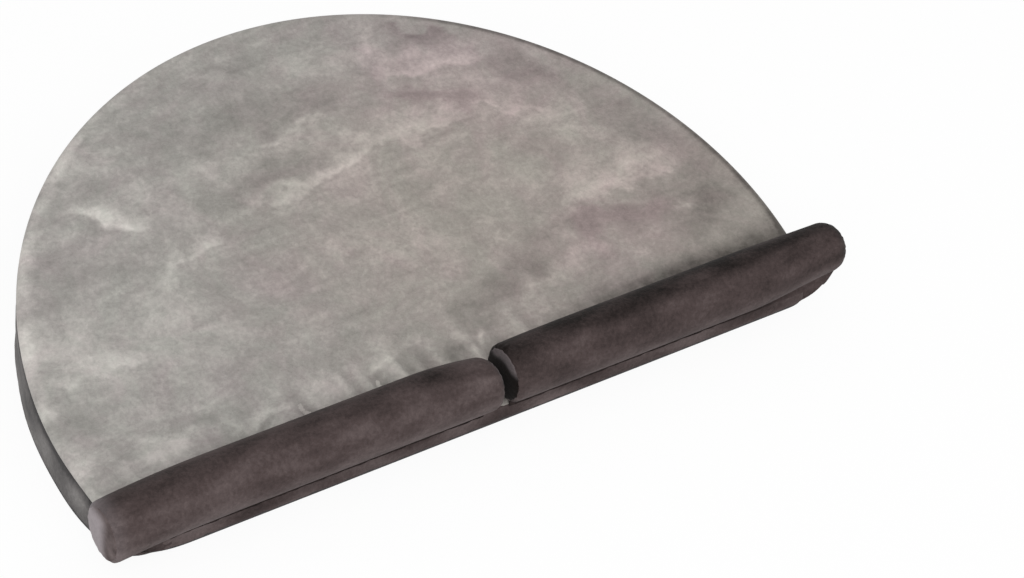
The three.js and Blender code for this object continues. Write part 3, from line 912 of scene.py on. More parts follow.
@functools.lru_cache(maxsize=1)
def cushion_swell():
    """The blown-up cushion. Its underside and seams are held, and the top and the wall swell."""
    sizes = bpy.context.scene.lap_desk_cushion
    cushion = Cushion(sizes)
    line = cushion.whole(back_step=0.006, front_step=0.006)
    flat = [cushion.level(line, sizes.bottom_draw, share, 0.0) for share in spread(0, 1, 8)]
    tall = cushion.wall_top(line) - cushion.wall_low
    heights = [cushion.wall_low + tall * share for share in spread(0, 1, 4)]
    wall = [cushion.wall_point(line, height, 0.0) for height in heights]
    rim = [cushion.rim(line, share) for share in spread(0, 1, 3)]
    top = [cushion.ring(line, share) for share in spread(1, 0, 10)[1:]]
    shell = single(stacked(flat + wall + rim + top), around=True)
    seam = cushion.rim(line, 0.0)

    def held(points):
        near = np.linalg.norm(points[:, None] - seam[None], axis=-1).min(1) < sizes.voxel
        return near | (points[:, 2] < HELD_WITHIN * sizes.voxel)

    return blow_up(shell, sizes.voxel, sizes.pressure, sizes.top_swell, held)


def swollen(points, away):
    """Points moved with the simulated cushion, by a share that is 0 at their seams and 1 away from them."""
    reach = 0.006
    return points + cushion_swell().at(points, reach) * away[..., None]


class Stroke(NamedTuple):
    """A brushed mark in the pile: plan position, half sizes and direction, in millimetres and degrees.

    The pile changes sharply along one edge of a mark, on its left (1) or right (-1), and fades on the other.
    """

    x: float
    y: float
    length: float
    width: float
    turn: float
    tone: float
    crisp: int = 0
    blush: float = 0.0

    def mask(self, x, y):
        """1 inside the mark, falling off at its edge: a bell along it and, where it isn't crisp, across it.

        A crisp edge bows back towards both ends of the mark, and the pile turns over an edge width there.
        """
        edge_width, edge, bow, fade_from, fade = 3, 0.8, 0.3, 0.3, 0.6
        angle = math.radians(self.turn)
        across = x - self.x * MM
        up = y - self.y * MM
        run = (across * math.cos(angle) + up * math.sin(angle)) / (self.length * MM)
        side = (up * math.cos(angle) - across * math.sin(angle)) / (self.width * MM)
        if not self.crisp:
            return np.exp(-((run**2 + side**2) ** 1.5))
        side = side * self.crisp
        faded = np.exp(-fade * np.clip(fade_from - side, 0, None) ** 2)
        return np.exp(-(run**4)) * faded * ease((edge - bow * run**2 - side) * self.width / edge_width)


STROKE_ROWS = [
    (-113, 115, 18, 5, -44, 1.0, -1),
    (-100, 147, 20, 7, 0, 0.2, -1),
    (-147, 104, 11, 6, 8, -0.3),
    (-158, 75, 9, 6, 15, 0.3),
    (-13, 138, 53, 12, -5, -0.4),
    (-10, 175, 16, 5, -8, -0.4),
    (-6, 126, 32, 3, 1, 0.5, -1),
    (-24, 105, 38, 7, 0, -0.45),
    (-3, 98, 47, 6, 10, 0.55, -1),
    (60, 106, 26, 11, 0, 0.45, -1, 0.2),
    (-88, 79, 21, 6, 19, 0.6, -1),
    (-160, 40, 21, 7, 3, 0.45, -1),
    (-174, 18, 18, 6, 0, -0.35),
    (-185, -6, 12, 4, 8, 0.4),
    (-130, 50, 34, 24, 10, 0.3),
    (-168, 62, 16, 18, 60, 0.25),
    (-72, 118, 24, 10, 4, 0.2),
    (-148, -7, 18, 4, -8, 0.4),
    (-101, -12, 19, 4, -4, 0.4),
    (-105, -18, 11, 3, -6, -0.5),
    (-62, -10, 9, 5, 6, 0.4),
    (-31, -8, 13, 7, 12, 0.7, -1),
    (11, -18, 8, 4, 22, 0.7),
    (1, -18, 9, 5, 3, -0.7),
    (34, 5, 26, 10, 12, -0.5),
    (66, 18, 20, 11, 13, -0.55),
    (140, 43, 36, 14, 3, 0.6, -1, 0.6),
    (114, 23, 27, 7, -11, -0.5, 0, 0.8),
    (82, 9, 15, 8, 17, 0.4, 0, 0.5),
    (162, 14, 24, 13, 13, -0.8),
    (152, 15, 8, 4, 15, 0.9),
    (89, 157, 15, 7, -29, -0.7, 1, 0.9),
    (84, 138, 26, 9, -9, 0.55, -1, 0.9),
    (128, 118, 26, 10, -38, -0.5, 0, 0.1),
    (71, 120, 25, 5, -26, -0.45, 0, 0.9),
    (106, 97, 26, 3, -27, 0.45, -1, 0.3),
    (166, 62, 36, 13, -62, -0.55, 0, 0.2),
    (51, 158, 19, 7, 8, 0.3, 0, 0.2),
]
STROKES = [Stroke(*row) for row in STROKE_ROWS]
WARM_PATCHES = [
    Stroke(75, 50, 140, 105, 0, 1.0),
    Stroke(172, 5, 45, 40, 0, 0.8),
]
BLUSH_PATCHES = [
    Stroke(90, 130, 60, 40, -25, 0.7),
    Stroke(-55, 52, 26, 14, 0, 0.5),
    Stroke(115, 15, 50, 24, 8, 0.5),
]
ROLL_LINE = -0.02  # Y where the rolls' backs cover the top


def wander(x, y, seed):
    """Shift that frays the edges of the brushed marks: large lumps and small ones."""
    large, small = 0.0034, 0.001
    return large * lumps(x, y, 0.022, seed) + small * lumps(x, y, 0.008, seed + 1)


def pile_marks(cushion, points, from_rim):
    """How the pile lies on the top panel, with its painted light and shade and its tints.

    The pile's lean is the sum of the frayed strokes, a mottled painted light along the left rim, a painted
    shade along the right rim, a painted shade along the back of the right roll, and the puckers of the front
    seam with painted light on their ridges and painted shade in their hollows.
    """
    x, y = points[..., 0], points[..., 1]
    shift_y = wander(x, y, seed=73)
    frayed = x + wander(x, y, seed=71), y + shift_y
    masks = [stroke.mask(*frayed) for stroke in STROKES]
    nap = sum(stroke.tone * mask for stroke, mask in zip(STROKES, masks))
    blush = sum(stroke.blush * mask for stroke, mask in zip(STROKES, masks))
    blush = blush + sum(patch.tone * patch.mask(*frayed) for patch in BLUSH_PATCHES)
    warm = sum(patch.tone * patch.mask(*frayed) for patch in WARM_PATCHES)
    # Painted light along the left rim, mottled, and painted shade along the right rim.
    rim_light_mottle = 0.65 + 0.35 * lumps(x, y, length=0.02, seed=75)
    left, right = ease((-x - 0.03) / 0.1), ease((x - 0.06) / 0.06)
    wear_and_rim_light = rim_light_mottle * bell(from_rim, reach=0.025) * left
    shaded = bell(from_rim, reach=0.008) * right
    # Painted shade along the back of the right roll.
    behind = y + 0.3 * shift_y - ROLL_LINE
    contact = bell(behind, reach=0.007) * ease((x - 0.03) / 0.06)
    contact = contact + 0.4 * bell(behind, reach=0.018) * right
    gathers = front_gathers(cushion.sizes, points) / cushion.sizes.gather
    # The puckers are painted lighter on their ridges and darker in their hollows: painted light and shade.
    nap = nap + 0.8 * wear_and_rim_light - 1.2 * shaded - contact + 0.5 * gathers
    return {"nap": nap, "blush": blush, "warm": warm}


def front_gathers(sizes, points):
    """Puckers square to the front seam: seeded ripples along X that die out away from the rolls."""
    x, y = points[..., 0], points[..., 1]
    gone_at, fade_run = 0.012, 0.05
    strongest_at, strong_reach, least = -0.035, 0.07, 0.35
    wavelengths, slant = (0.0095, 0.0137, 0.021, 0.034), 0.15
    fade = ease((gone_at - y) / fade_run)
    stronger = least + bell(x - strongest_at, strong_reach)
    return sizes.gather * fade * stronger * ripples(x + slant * y, wavelengths, seed=7)


class LAPDESK_OT_top_panel(bpy.types.Operator):
    """Pale velvet top: a rim rounded down to its seam, a blown-up crown and puckers along the front"""

    bl_idname = "lapdesk.top_panel"
    bl_label = "Top panel"

    def execute(self, context):
        cushion = cushion_of(context)
        sizes = cushion.sizes
        line = cushion.whole(back_step=0.0025, front_step=0.0016)
        lining_spans, tuck_spans, rim_spans, crown_spans = 6, 4, 10, 84
        seam_share, lump, lump_length = 0.06, 0.0005, 0.06
        lining = [cushion.ring(line, share, sizes.fabric) for share in spread(0, 1, lining_spans)[:-1]]
        lining += [cushion.rim(line, share, sizes.fabric) for share in spread(1, 0, tuck_spans)]
        rim = [cushion.rim(line, share) for share in spread(0, 1, rim_spans)]
        crown = [cushion.ring(line, share) for share in spread(1, 0, crown_spans)[1:]]
        points = stacked(lining + rim + crown)
        turned_down = np.zeros(tuck_spans + rim_spans + 2)
        from_rim = [spread(1, 0, lining_spans)[:-1], turned_down, spread(0, 1, crown_spans)[1:]]
        from_rim = np.concatenate(from_rim)[None, :]
        free = np.broadcast_to(ease(from_rim / seam_share), points.shape[:2])
        points = swollen(points, free)
        points[..., 2] += front_gathers(sizes, points) * free
        points[..., 2] += lump * lumps(points[..., 0], points[..., 1], lump_length, seed=3) * free
        shell = single(points, around=True, marks=pile_marks(cushion, points, from_rim))
        material = top_velvet(context.scene.lap_desk_colours)
        piece = make_piece("top_panel_velvet", [shell], material, "cushion", "pale_velvet", "top_panel")
        return {"FINISHED"}


def bar_section(low, high, depth, edge, spans, arc_spans=4, inner_step=1):
    """Heights and depths of a flat bar's closed section: outer face up, edge, inner face down, edge.

    Both edges are round. Heights have a column for each station that limits are given for.
    """
    arcs = spread(0, math.pi, arc_spans)[1:-1]
    outer = low + edge + (high - low - 2 * edge) * spread(0, 1, spans)[:, None]
    over = high - edge + edge * np.sin(arcs)[:, None]
    under = low + edge - edge * np.sin(arcs)[:, None]
    inner = outer[::-inner_step]
    turned = depth / 2 * (1 - np.cos(arcs))
    depths = [np.zeros(len(outer)), turned, np.full(len(inner), depth), turned[::-1]]
    return np.concatenate([outer, over, inner, under]), np.concatenate(depths)


def cloth_section(low, high, fabric, spans):
    """The section of a strip of fabric, with round hems and an inner face in fewer steps."""
    return bar_section(low, high, fabric, fabric / 2, spans, arc_spans=6, inner_step=4)


def make_band(cushion, line, low, high, spans, seed, lean=0.0, shade=0.0):
    """A strip of the wall: a closed section carried along the outline, with rounded ends and seam puckers.

    Its pile lies in soft patches about a lean, and is shaded along the top seam.
    """
    pucker, pucker_reach, bottom_share = 0.0003, 0.004, 0.7
    sag, sag_from, swell_share, mottle, shade_reach = 0.0004, 0.006, 0.6, 0.5, 0.0032
    radius = cushion.sizes.fabric / 2
    low, high = np.broadcast_arrays(low, high, line.run)[:2]
    from_end = np.minimum(line.run - line.run[0], line.run[-1] - line.run)
    lost = np.clip(1 - from_end / radius, 0, 1)
    end_inset = radius * (1 - np.sqrt(1 - 0.98 * lost**2))
    section = zip(*cloth_section(low, high, cushion.sizes.fabric, spans))
    rows = [(height, depth + end_inset * (1 - depth / radius)) for height, depth in section]
    points = stacked([cushion.wall_point(line, height, depth) for height, depth in rows])
    below_seam = cushion.wall_top(line)[:, None] - points[..., 2]
    above_seam = points[..., 2] - cushion.wall_low
    run = np.broadcast_to(line.run[:, None], points.shape[:2])
    puckers = ripples(run, (0.0061, 0.0093, 0.0147, 0.027), seed)
    drawn = np.exp(-below_seam / pucker_reach) + bottom_share * np.exp(-above_seam / pucker_reach)
    middle = ease(below_seam / sag_from) * ease(above_seam / sag_from)
    sagging = lumps(run, points[..., 2] * 2.5, length=0.05, seed=seed + 1)
    stand_out = pucker * puckers * drawn + sag * sagging * middle
    outward = raised(line.outward, np.zeros(len(line.run)))[:, None, :]
    points = swollen(points, swell_share * middle) + outward * stand_out[..., None]
    patches = lumps(run, points[..., 2] * 2, length=0.04, seed=seed + 2)
    nap = lean + mottle * patches - shade * bell(below_seam, shade_reach)
    return single(points, across=True, marks={"nap": nap})


class LAPDESK_OT_walls(bpy.types.Operator):
    """Grey wall round the curve: two side bands, and two hemmed bands above and below the zip"""

    bl_idname = "lapdesk.walls"
    bl_label = "Walls"

    def execute(self, context):
        cushion = cushion_of(context)
        slot = ZipPlan(context.scene)
        material = wall_velvet(context.scene.lap_desk_colours)
        step, seam_shade = 0.002, 1.9
        right = cushion.arc(cushion.corner_end, slot.slot_from, step)
        left = cushion.arc(slot.slot_to, math.pi - cushion.corner_end, step)
        back = cushion.arc(slot.slot_from, slot.slot_to, step)
        low = cushion.wall_low
        bands = (
            ("right_side", right, low, cushion.wall_top(right), 20, 21),
            ("left_side", left, low, cushion.wall_top(left), 20, 31),
            ("back_upper", back, slot.slot_high, cushion.wall_top(back), 14, 41),
            ("back_lower", back, low, slot.slot_low, 12, 51),
        )
        for name, line, bottom, top, spans, seed in bands:
            shell = make_band(cushion, line, bottom, top, spans, seed, shade=seam_shade)
            node = f"{name}_band"
            make_piece(f"{node}_velvet", [shell], material, "cushion", "grey_wall", node)
        return {"FINISHED"}


STRIP_LIFT = 0.0035  # the most that the strip's lower edge is lifted
LINING_LIFT = 1.15  # lift of the cloth and foam behind that edge, as a share of the edge's own
FOAM_GAP = 0.0005  # between a foam core and the fabric over it


def strip_lift(scene, cushion, line):
    """How far the front cloth's lower edge is lifted under the rolls' ends, fading round the corners."""
    edges = [Roll(scene, side).ear_edge(line.place[:, 0]) for side in SIDES]
    return np.minimum(np.max(edges, axis=0) - cushion.wall_low, STRIP_LIFT) * (1 - line.back)


class LAPDESK_OT_front_strip(bpy.types.Operator):
    """Dark velvet strip under the rolls, round both front corners, with an ear up to each roll's end"""

    bl_idname = "lapdesk.front_strip"
    bl_label = "Front strip"

    def execute(self, context):
        cushion = cushion_of(context)
        shadow_from, shadow_run = -0.163, 0.02
        line = cushion.front(step=0.0015)
        low = cushion.wall_low + strip_lift(context.scene, cushion, line)
        shells = [make_band(cushion, line, low, cushion.wall_top(line), spans=16, seed=61, lean=0.3)]
        for side in SIDES:
            ear = strip_ear(Roll(context.scene, side))
            left_shadow = ease((shadow_from - ear[..., 0]) / shadow_run)
            mottle = lumps(ear[..., 0], ear[..., 2], length=0.02, seed=63)
            nap = 0.15 + 0.3 * mottle - 0.9 * left_shadow
            shells.append(single(ear, across=True, marks={"nap": nap}))
        material = roll_velvet(context.scene.lap_desk_colours)
        make_piece("front_strip_velvet", shells, material, "cushion", "dark_velvet", "front_strip")
        return {"FINISHED"}


class LAPDESK_OT_underside(bpy.types.Operator):
    """Woven underside: a flat disc of the outline with a rounded edge, lifted with the front strip's edge"""

    bl_idname = "lapdesk.underside"
    bl_label = "Underside"

    def execute(self, context):
        cushion = cushion_of(context)
        sizes = cushion.sizes
        line = cushion.whole(back_step=0.003, front_step=0.003)
        half = sizes.fabric / 2
        flat_inset = sizes.bottom_draw + half
        face, lining = spread(0, 1, 24), spread(1, 0, 6)
        edge = spread(-math.pi / 2, math.pi / 2, 6)[1:-1]
        rows = [cushion.level(line, flat_inset, share, 0.0) for share in face]
        for angle in edge:
            inset = sizes.bottom_draw + half * (1 - math.cos(angle))
            rows.append(cushion.level(line, inset, 1.0, half * (1 + math.sin(angle))))
        rows += [cushion.level(line, flat_inset, share, sizes.fabric) for share in lining]
        points = stacked(rows)
        near_edge = ease((np.concatenate([face, np.ones(len(edge)), lining]) - 0.9) / 0.1)
        points[..., 2] += LINING_LIFT * strip_lift(context.scene, cushion, line)[:, None] * near_edge
        material = underside_weave(context.scene.lap_desk_colours)
        shell = single(points, around=True)
        make_piece("underside_cloth", [shell], material, "cushion", "underside_cloth", "bottom_panel")
        return {"FINISHED"}


class LAPDESK_OT_foam_cores(bpy.types.Operator):
    """Foam wedge with softened edges, and the round foam cores of both rolls"""

    bl_idname = "lapdesk.foam_cores"
    bl_label = "Foam cores"

    def execute(self, context):
        material = open_cell_foam(context.scene.lap_desk_colours)
        shell = single(self.wedge(context), around=True)
        wedge = make_piece("foam_wedge_core", [shell], material, "cushion", "foam", "foam_wedge")
        for side, hand in SIDES.items():
            roll = Roll(context.scene, side)
            profile = roll.pad_profile(roll.fabric + FOAM_GAP, straight_spans=60)
            shell = single(roll.bent(roll.turned(*profile, columns=48)), around=True)
            core = make_piece(f"{hand}_roll_core", [shell], material, "cushion", "foam", f"{hand}_roll_foam")
        return {"FINISHED"}

    @staticmethod
    def wedge(context):
        """Rings of the wedge: its flat underside, upright sides set off by an edge, and its crowned top."""
        cushion = cushion_of(context)
        sizes = cushion.sizes
        line = cushion.whole(back_step=0.004, front_step=0.004)
        floor_gap, edge = 0.0004, 0.002
        low, depth, inset = sizes.fabric + floor_gap, sizes.fabric + FOAM_GAP, sizes.foam_inset + edge
        flat, sides, top = spread(0, 1, 8), spread(0, 1, 6), spread(1, 0, 12)
        plan = line.inside(sizes.foam_inset)
        tall = cushion.plane(plan[..., 1]) - depth - 2 * edge - low
        rows = [cushion.level(line, inset, share, low) for share in flat]
        rows += [raised(plan, low + edge + tall * share) for share in sides]
        rows += [cushion.crowned(line, inset, share, depth) for share in top]
        points = stacked(rows)
        near_edge = ease((np.concatenate([flat, np.ones(len(sides)), top]) - 0.88) / 0.1)
        lift = LINING_LIFT * strip_lift(context.scene, cushion, line)[:, None] * near_edge
        points[..., 2] = np.maximum(points[..., 2], low + lift)
        return points


# Rolls

SIDES = {-1: "left", 1: "right"}
UPPER_BACK = math.radians(42)  # direction from a roll's axis of the lines that its ends thin towards
THINNED_FROM = 0.6  # place of that line at the outer end, as a share of the radius
EAR_POWER = 2.8  # how late the front cloth sweeps up to a roll's outer end
TUCKED_IN = 0.0003  # how far the cloth in front runs into a roll or behind the front face


class RollTone(NamedTuple):
    """Painted light and shade on one roll: its shares of shade over the top, even shade, a highlight at the
    brow, light along the bottom, shade at the outer end, sheen along it, sheen at its back and sheen on the
    outer cap.
    """

    dark: float
    ground: float
    brow: float
    light: float
    end_shade: float
    end_frost: float
    back_frost: float
    cap_frost: float


# Per side: the right roll gets more painted shade over its top and a painted shade at its outer end, the
# left one a painted sheen at its outer end and cap.
ROLL_TONES = {
    -1: RollTone(0.45, 0.0, 0.2, 0.5, end_shade=0.0, end_frost=0.1, back_frost=0.4, cap_frost=0.72),
    1: RollTone(0.95, 0.12, 0.0, 0.36, end_shade=0.6, end_frost=0.0, back_frost=0.0, cap_frost=0.25),
}


class RollEnd(NamedTuple):
    """One end of a roll: its direction along X, places of its cap's seam and shoulder, dome and rounding."""

    sign: int
    seam: float
    centre: float
    bulge: float
    rounding: float
    seam_radius: float


class Roll:
    """One bolster roll: profiles of place along X and radius, turned round the axis."""

    def __init__(self, scene, side):
        self.sizes = sizes = scene.lap_desk_roll
        self.cushion = Cushion(scene.lap_desk_cushion)
        self.side = side
        self.radius = sizes.diameter / 2
        self.fabric = scene.lap_desk_cushion.fabric
        self.front = -scene.lap_desk_cushion.front_distance
        self.y = self.front + sizes.inset
        rise = (self.radius + sizes.clearance) / math.cos(scene.lap_desk_cushion.wedge_angle)
        self.z = self.cushion.plane(self.y) + rise
        outer_tip = sizes.shift + side * sizes.span / 2
        inner_tip = sizes.slot_shift + side * sizes.slot / 2
        self.outer = self.end(outer_tip, side, sizes.outer_bulge, self.own("rounding"))
        self.inner = self.end(inner_tip, -side, sizes.inner_bulge, self.own("slot_rounding"))
        self.low, self.high = sorted((self.outer, self.inner), key=lambda end: end.sign)

    def own(self, name):
        """A size that the two rolls have each for themselves."""
        return getattr(self.sizes, f"{SIDES[self.side]}_{name}")

    def end(self, tip, sign, bulge, rounding):
        """The end whose dome reaches a tip."""
        seam = tip - sign * bulge
        centre = seam - sign * rounding * math.sin(self.sizes.shoulder)
        seam_radius = self.radius - rounding * (1 - math.cos(self.sizes.shoulder))
        return RollEnd(sign, seam, centre, bulge, rounding, seam_radius)

    def bend(self, x):
        """Rise of the axis: the left roll hangs by a parabola at its outer end."""
        past = np.clip(1 - np.abs(x - self.outer.seam) / self.sizes.droop_run, 0, 1)
        return (-self.sizes.droop if self.side < 0 else 0.0) * past**2

    def thinning(self, x):
        """Scale of the round section: the right roll thins towards its outer end."""
        if self.side < 0:
            return np.ones_like(x)
        return 1 - self.sizes.taper * ease(1 - np.abs(x - self.outer.seam) / self.sizes.taper_run)

    def underside(self, x):
        """Height of the roll's surface over the front face."""
        sunk = 0.0005
        drop = math.sqrt((self.radius - sunk) ** 2 - (self.front - self.y) ** 2)
        high = THINNED_FROM * self.radius * math.sin(UPPER_BACK)
        return self.z + self.bend(x) + high - (high + drop) * self.thinning(x)

    def ear_tip(self):
        """End of the curve in the front cloth under the roll's outer end."""
        return self.outer.centre - self.side * self.own("ear_inset")

    def ear_edge(self, x):
        """Lower edge of the front cloth: level, then a curve of a high power up to the roll's outer end."""
        share = np.clip(1 + self.side * (x - self.ear_tip()) / self.own("ear_run"), 0, 1)
        low = self.cushion.wall_low
        return low + (self.underside(self.ear_tip()) - low) * share**EAR_POWER

    def shoulder(self, end, depth, spans):
        """Rounded shoulder of the cover at one end, at a depth in its fabric."""
        angle = spread(0, self.sizes.shoulder, spans)
        reach = end.rounding - depth
        return (
            end.centre + end.sign * reach * np.sin(angle),
            self.radius - end.rounding + reach * np.cos(angle),
        )

    def dome(self, end, depth, spans):
        """Dome of a cap from its seam to its tip, at a depth in its fabric."""
        angle = spread(math.pi / 2, 0, spans)
        return (
            end.seam + end.sign * (end.bulge - depth) * np.cos(angle),
            np.maximum((end.seam_radius - depth) * np.sin(angle), 0),
        )

    def cover_profile(self):
        """Closed section of the cover: outer face from end to end, and the inner face back."""
        straight_spans, outer_spans, inner_spans = 130, 10, 4
        straight = spread(self.low.centre, self.high.centre, straight_spans)[1:-1]
        rows = [
            np.flip(self.shoulder(self.low, 0.0, outer_spans), 1),
            (straight, np.full(len(straight), self.radius)),
            self.shoulder(self.high, 0.0, outer_spans),
            np.flip(self.shoulder(self.high, self.fabric, inner_spans), 1),
            self.shoulder(self.low, self.fabric, inner_spans),
        ]
        return np.concatenate(rows, axis=1)

    def pad_profile(self, depth, straight_spans):
        """Closed pad from tip to tip, at a depth in the fabric."""
        straight = spread(self.low.centre, self.high.centre, straight_spans)[1:-1]
        middle = straight, np.full(len(straight), self.radius - depth)
        low, high = self.pad_end(self.low, depth), self.pad_end(self.high, depth)
        return np.concatenate([np.flip(low, 1), middle, high], axis=1)

    def pad_end(self, end, depth):
        """Shoulder and dome of a closed pad at one end."""
        dome = np.array(self.dome(end, depth, spans=7))
        return np.concatenate([self.shoulder(end, depth, spans=5), dome[:, 1:]], axis=1)

    def turned(self, along, radius, columns):
        """A profile turned round the axis: columns go round, rows follow the profile."""
        angle = right_round(columns)[:, None]
        x = np.broadcast_to(along, (columns, len(along)))
        return np.stack([x, self.y + radius * np.cos(angle), self.z + radius * np.sin(angle)], -1)

    def bent(self, points):
        """Points of the straight roll, moved with its bent axis and thinned towards its ends.

        The right outer end thins towards a line above and behind its axis, an end at the slot towards
        its lower front line.
        """
        x = points[..., 0]
        keep = self.thinning(x)
        line_y = self.y + THINNED_FROM * self.radius * math.cos(UPPER_BACK)
        line_z = self.z + THINNED_FROM * self.radius * math.sin(UPPER_BACK)
        y = line_y + (points[..., 1] - line_y) * keep
        z = line_z + (points[..., 2] - line_z) * keep + self.bend(x)
        near_slot = np.clip(1 - np.abs(x - self.inner.seam) / self.sizes.slot_taper_run, 0, 1)
        lost = self.own("slot_taper") * near_slot**2
        line_y = self.y - self.radius * math.cos(UPPER_BACK)
        line_z = self.z - self.radius * math.sin(UPPER_BACK)
        return np.stack([x, y + (line_y - y) * lost, z + (line_z - z) * lost], -1)

    def from_seam(self, x):
        """Distance along X to the nearer cap seam."""
        return np.minimum(np.abs(x - self.outer.seam), np.abs(x - self.inner.seam))

    def swell(self):
        """The blown-up roll. Its end seams and the line where it is sewn down are held."""
        shell = single(self.turned(*self.pad_profile(0.0, straight_spans=40), columns=40), around=True)

        def held(points):
            sewn_down = points[:, 2] < self.z - SEWN_BELOW * self.radius
            return (self.from_seam(points[:, 0]) < HELD_WITHIN * self.sizes.voxel) | sewn_down

        pressure = self.cushion.sizes.pressure
        return blow_up(shell, self.sizes.voxel, pressure, self.sizes.swell, held)


def roll_marks(roll, points):
    """Pile and painted light and shade round a roll, by the angle from the back over the top in degrees.

    It has a painted shade over the top and back, a painted highlight at the brow in front of them and
    painted light along the bottom, with soft patches, streaks of wear along the roll, a painted shade at the
    right roll's outer end and a painted sheen at the left one's.
    """
    tone = ROLL_TONES[roll.side]
    x = points[..., 0]
    angle = np.degrees(np.arctan2(points[..., 2] - roll.z, points[..., 1] - roll.y)) % 360
    # above and below mask the painted shade over the top and back and the painted light along the bottom;
    # the brow bell is a painted highlight.
    above = 1 - between(angle, start=76, rise=60, stop=345, fall=60)
    below = between(angle, start=165, rise=35, stop=330, fall=60)
    lay_and_shading = tone.brow * bell(angle - 145, reach=25) + tone.light * below - tone.dark * above - tone.ground
    around = np.radians(angle) * roll.radius
    patches = 0.16 * lumps(x, around, length=0.03, seed=5 + roll.side)
    wear_and_rim_light = 0.16 * lumps(x * 0.35, around * 1.6, length=0.012, seed=17 + roll.side)
    # Painted shade and painted sheen at the outer end.
    end = bell(x - roll.outer.seam, reach=0.005)
    lit = end_frost(np.cos(np.radians(angle)), np.sin(np.radians(angle)) * 0.8)
    frost = (tone.end_frost + tone.back_frost * lit) * end
    return {"nap": patches + wear_and_rim_light + lay_and_shading - tone.end_shade * end, "frost": frost}


def end_frost(back, high):
    """Painted sheen on an outer end: full at the back, gone towards the front and the top."""
    return ease((back + 0.45) / 0.6) * ease((0.95 - high) / 0.6)


def cap_marks(roll, end, points):
    """Marks on an end cap: a mottled pile with a painted sheen towards the back on an outer cap, and on an
    inner cap a painted shade in the slot, lighter with a faint painted sheen along its upper rim.
    """
    back = (points[..., 1] - roll.y) / roll.radius
    high = (points[..., 2] - roll.z) / roll.radius
    if end is roll.inner:
        # Inner cap: painted shade deep in the slot, lighter with a faint painted sheen along its upper rim.
        edge = ease((high - 0.3) / 0.3) * ease((np.hypot(back, high) - 0.5) / 0.2)
        return {"nap": 1.1 * edge - 1.6, "frost": 0.18 * edge}
    # Outer cap: a mottled, lighter pile with a painted sheen towards the back.
    mottle = 0.55 + 0.3 * lumps(points[..., 1], points[..., 2], length=0.008, seed=27)
    return {"nap": mottle, "frost": ROLL_TONES[roll.side].cap_frost * end_frost(back, high)}


def sewing_tongue(roll):
    """Thin sewing tongue: from the front seam, or the ear's curve, up to the roll's underside, along X."""
    sizes = roll.cushion.sizes
    thickness, bow, above_ear, below_seam = 0.0004, 0.0005, 0.0004, 0.0006
    x = spread(roll.inner.centre, roll.ear_tip(), spans=150)[:, None]
    seam = sizes.front_height - sizes.rim_radius * (1 - math.sin(sizes.tuck_front))
    low = np.maximum(seam - below_seam, roll.ear_edge(x) + above_ear)
    high = np.maximum(roll.underside(x), low) + TUCKED_IN
    share = spread(0, 1, spans=8)
    ripple = 0.0002 * ripples(x, (0.007, 0.011, 0.019), seed=9)
    lean = (1 - roll.thinning(x)) * roll.radius * share
    y = roll.front - TUCKED_IN + bow * np.sin(math.pi * share) + ripple + lean
    z = low + (high - low) * share
    section_y = np.concatenate([y - thickness, y[:, ::-1] + thickness], 1)
    section_z = np.concatenate([z, z[:, ::-1]], 1)
    return np.stack([np.broadcast_to(x, section_y.shape), section_y, section_z], -1)


def tongue_marks(tongue):
    """Painted shade on a tongue: dark under the rolls, lighter at the right end, where it shows."""
    # A painted shade under the rolls, lifting towards the right end.
    dark, lighter_from, run = -0.9, 0.15, 0.03
    return {"nap": dark + ease((tongue[..., 0] - lighter_from) / run), "frost": 0.0}


def strip_ear(roll):
    """Ear of the front strip: its cloth goes straight on past the corner, with a curved lower edge.

    It starts behind the strip's face and comes forward through it over a short run.
    """
    sizes = roll.cushion.sizes
    before_corner, least_rise, below_top, behind, forward_run = 0.03, 0.0002, 0.0006, 0.0012, 0.014
    x = roll.side * spread(roll.cushion.corner_x - before_corner, abs(roll.ear_tip()), spans=110)
    x = x[roll.ear_edge(x) > roll.cushion.wall_low + least_rise]
    high = np.maximum(sizes.front_height - below_top, roll.ear_edge(x) + 1.1 * sizes.fabric)
    heights, depths = cloth_section(roll.ear_edge(x), high, sizes.fabric, spans=12)
    come_forward = ease((np.abs(x) - np.abs(x).min()) / forward_run)
    y = roll.front + behind * (1 - come_forward) - TUCKED_IN + depths[:, None]
    points = np.stack([np.broadcast_to(x, heights.shape), y, heights], -1)
    return np.swapaxes(points, 0, 1)


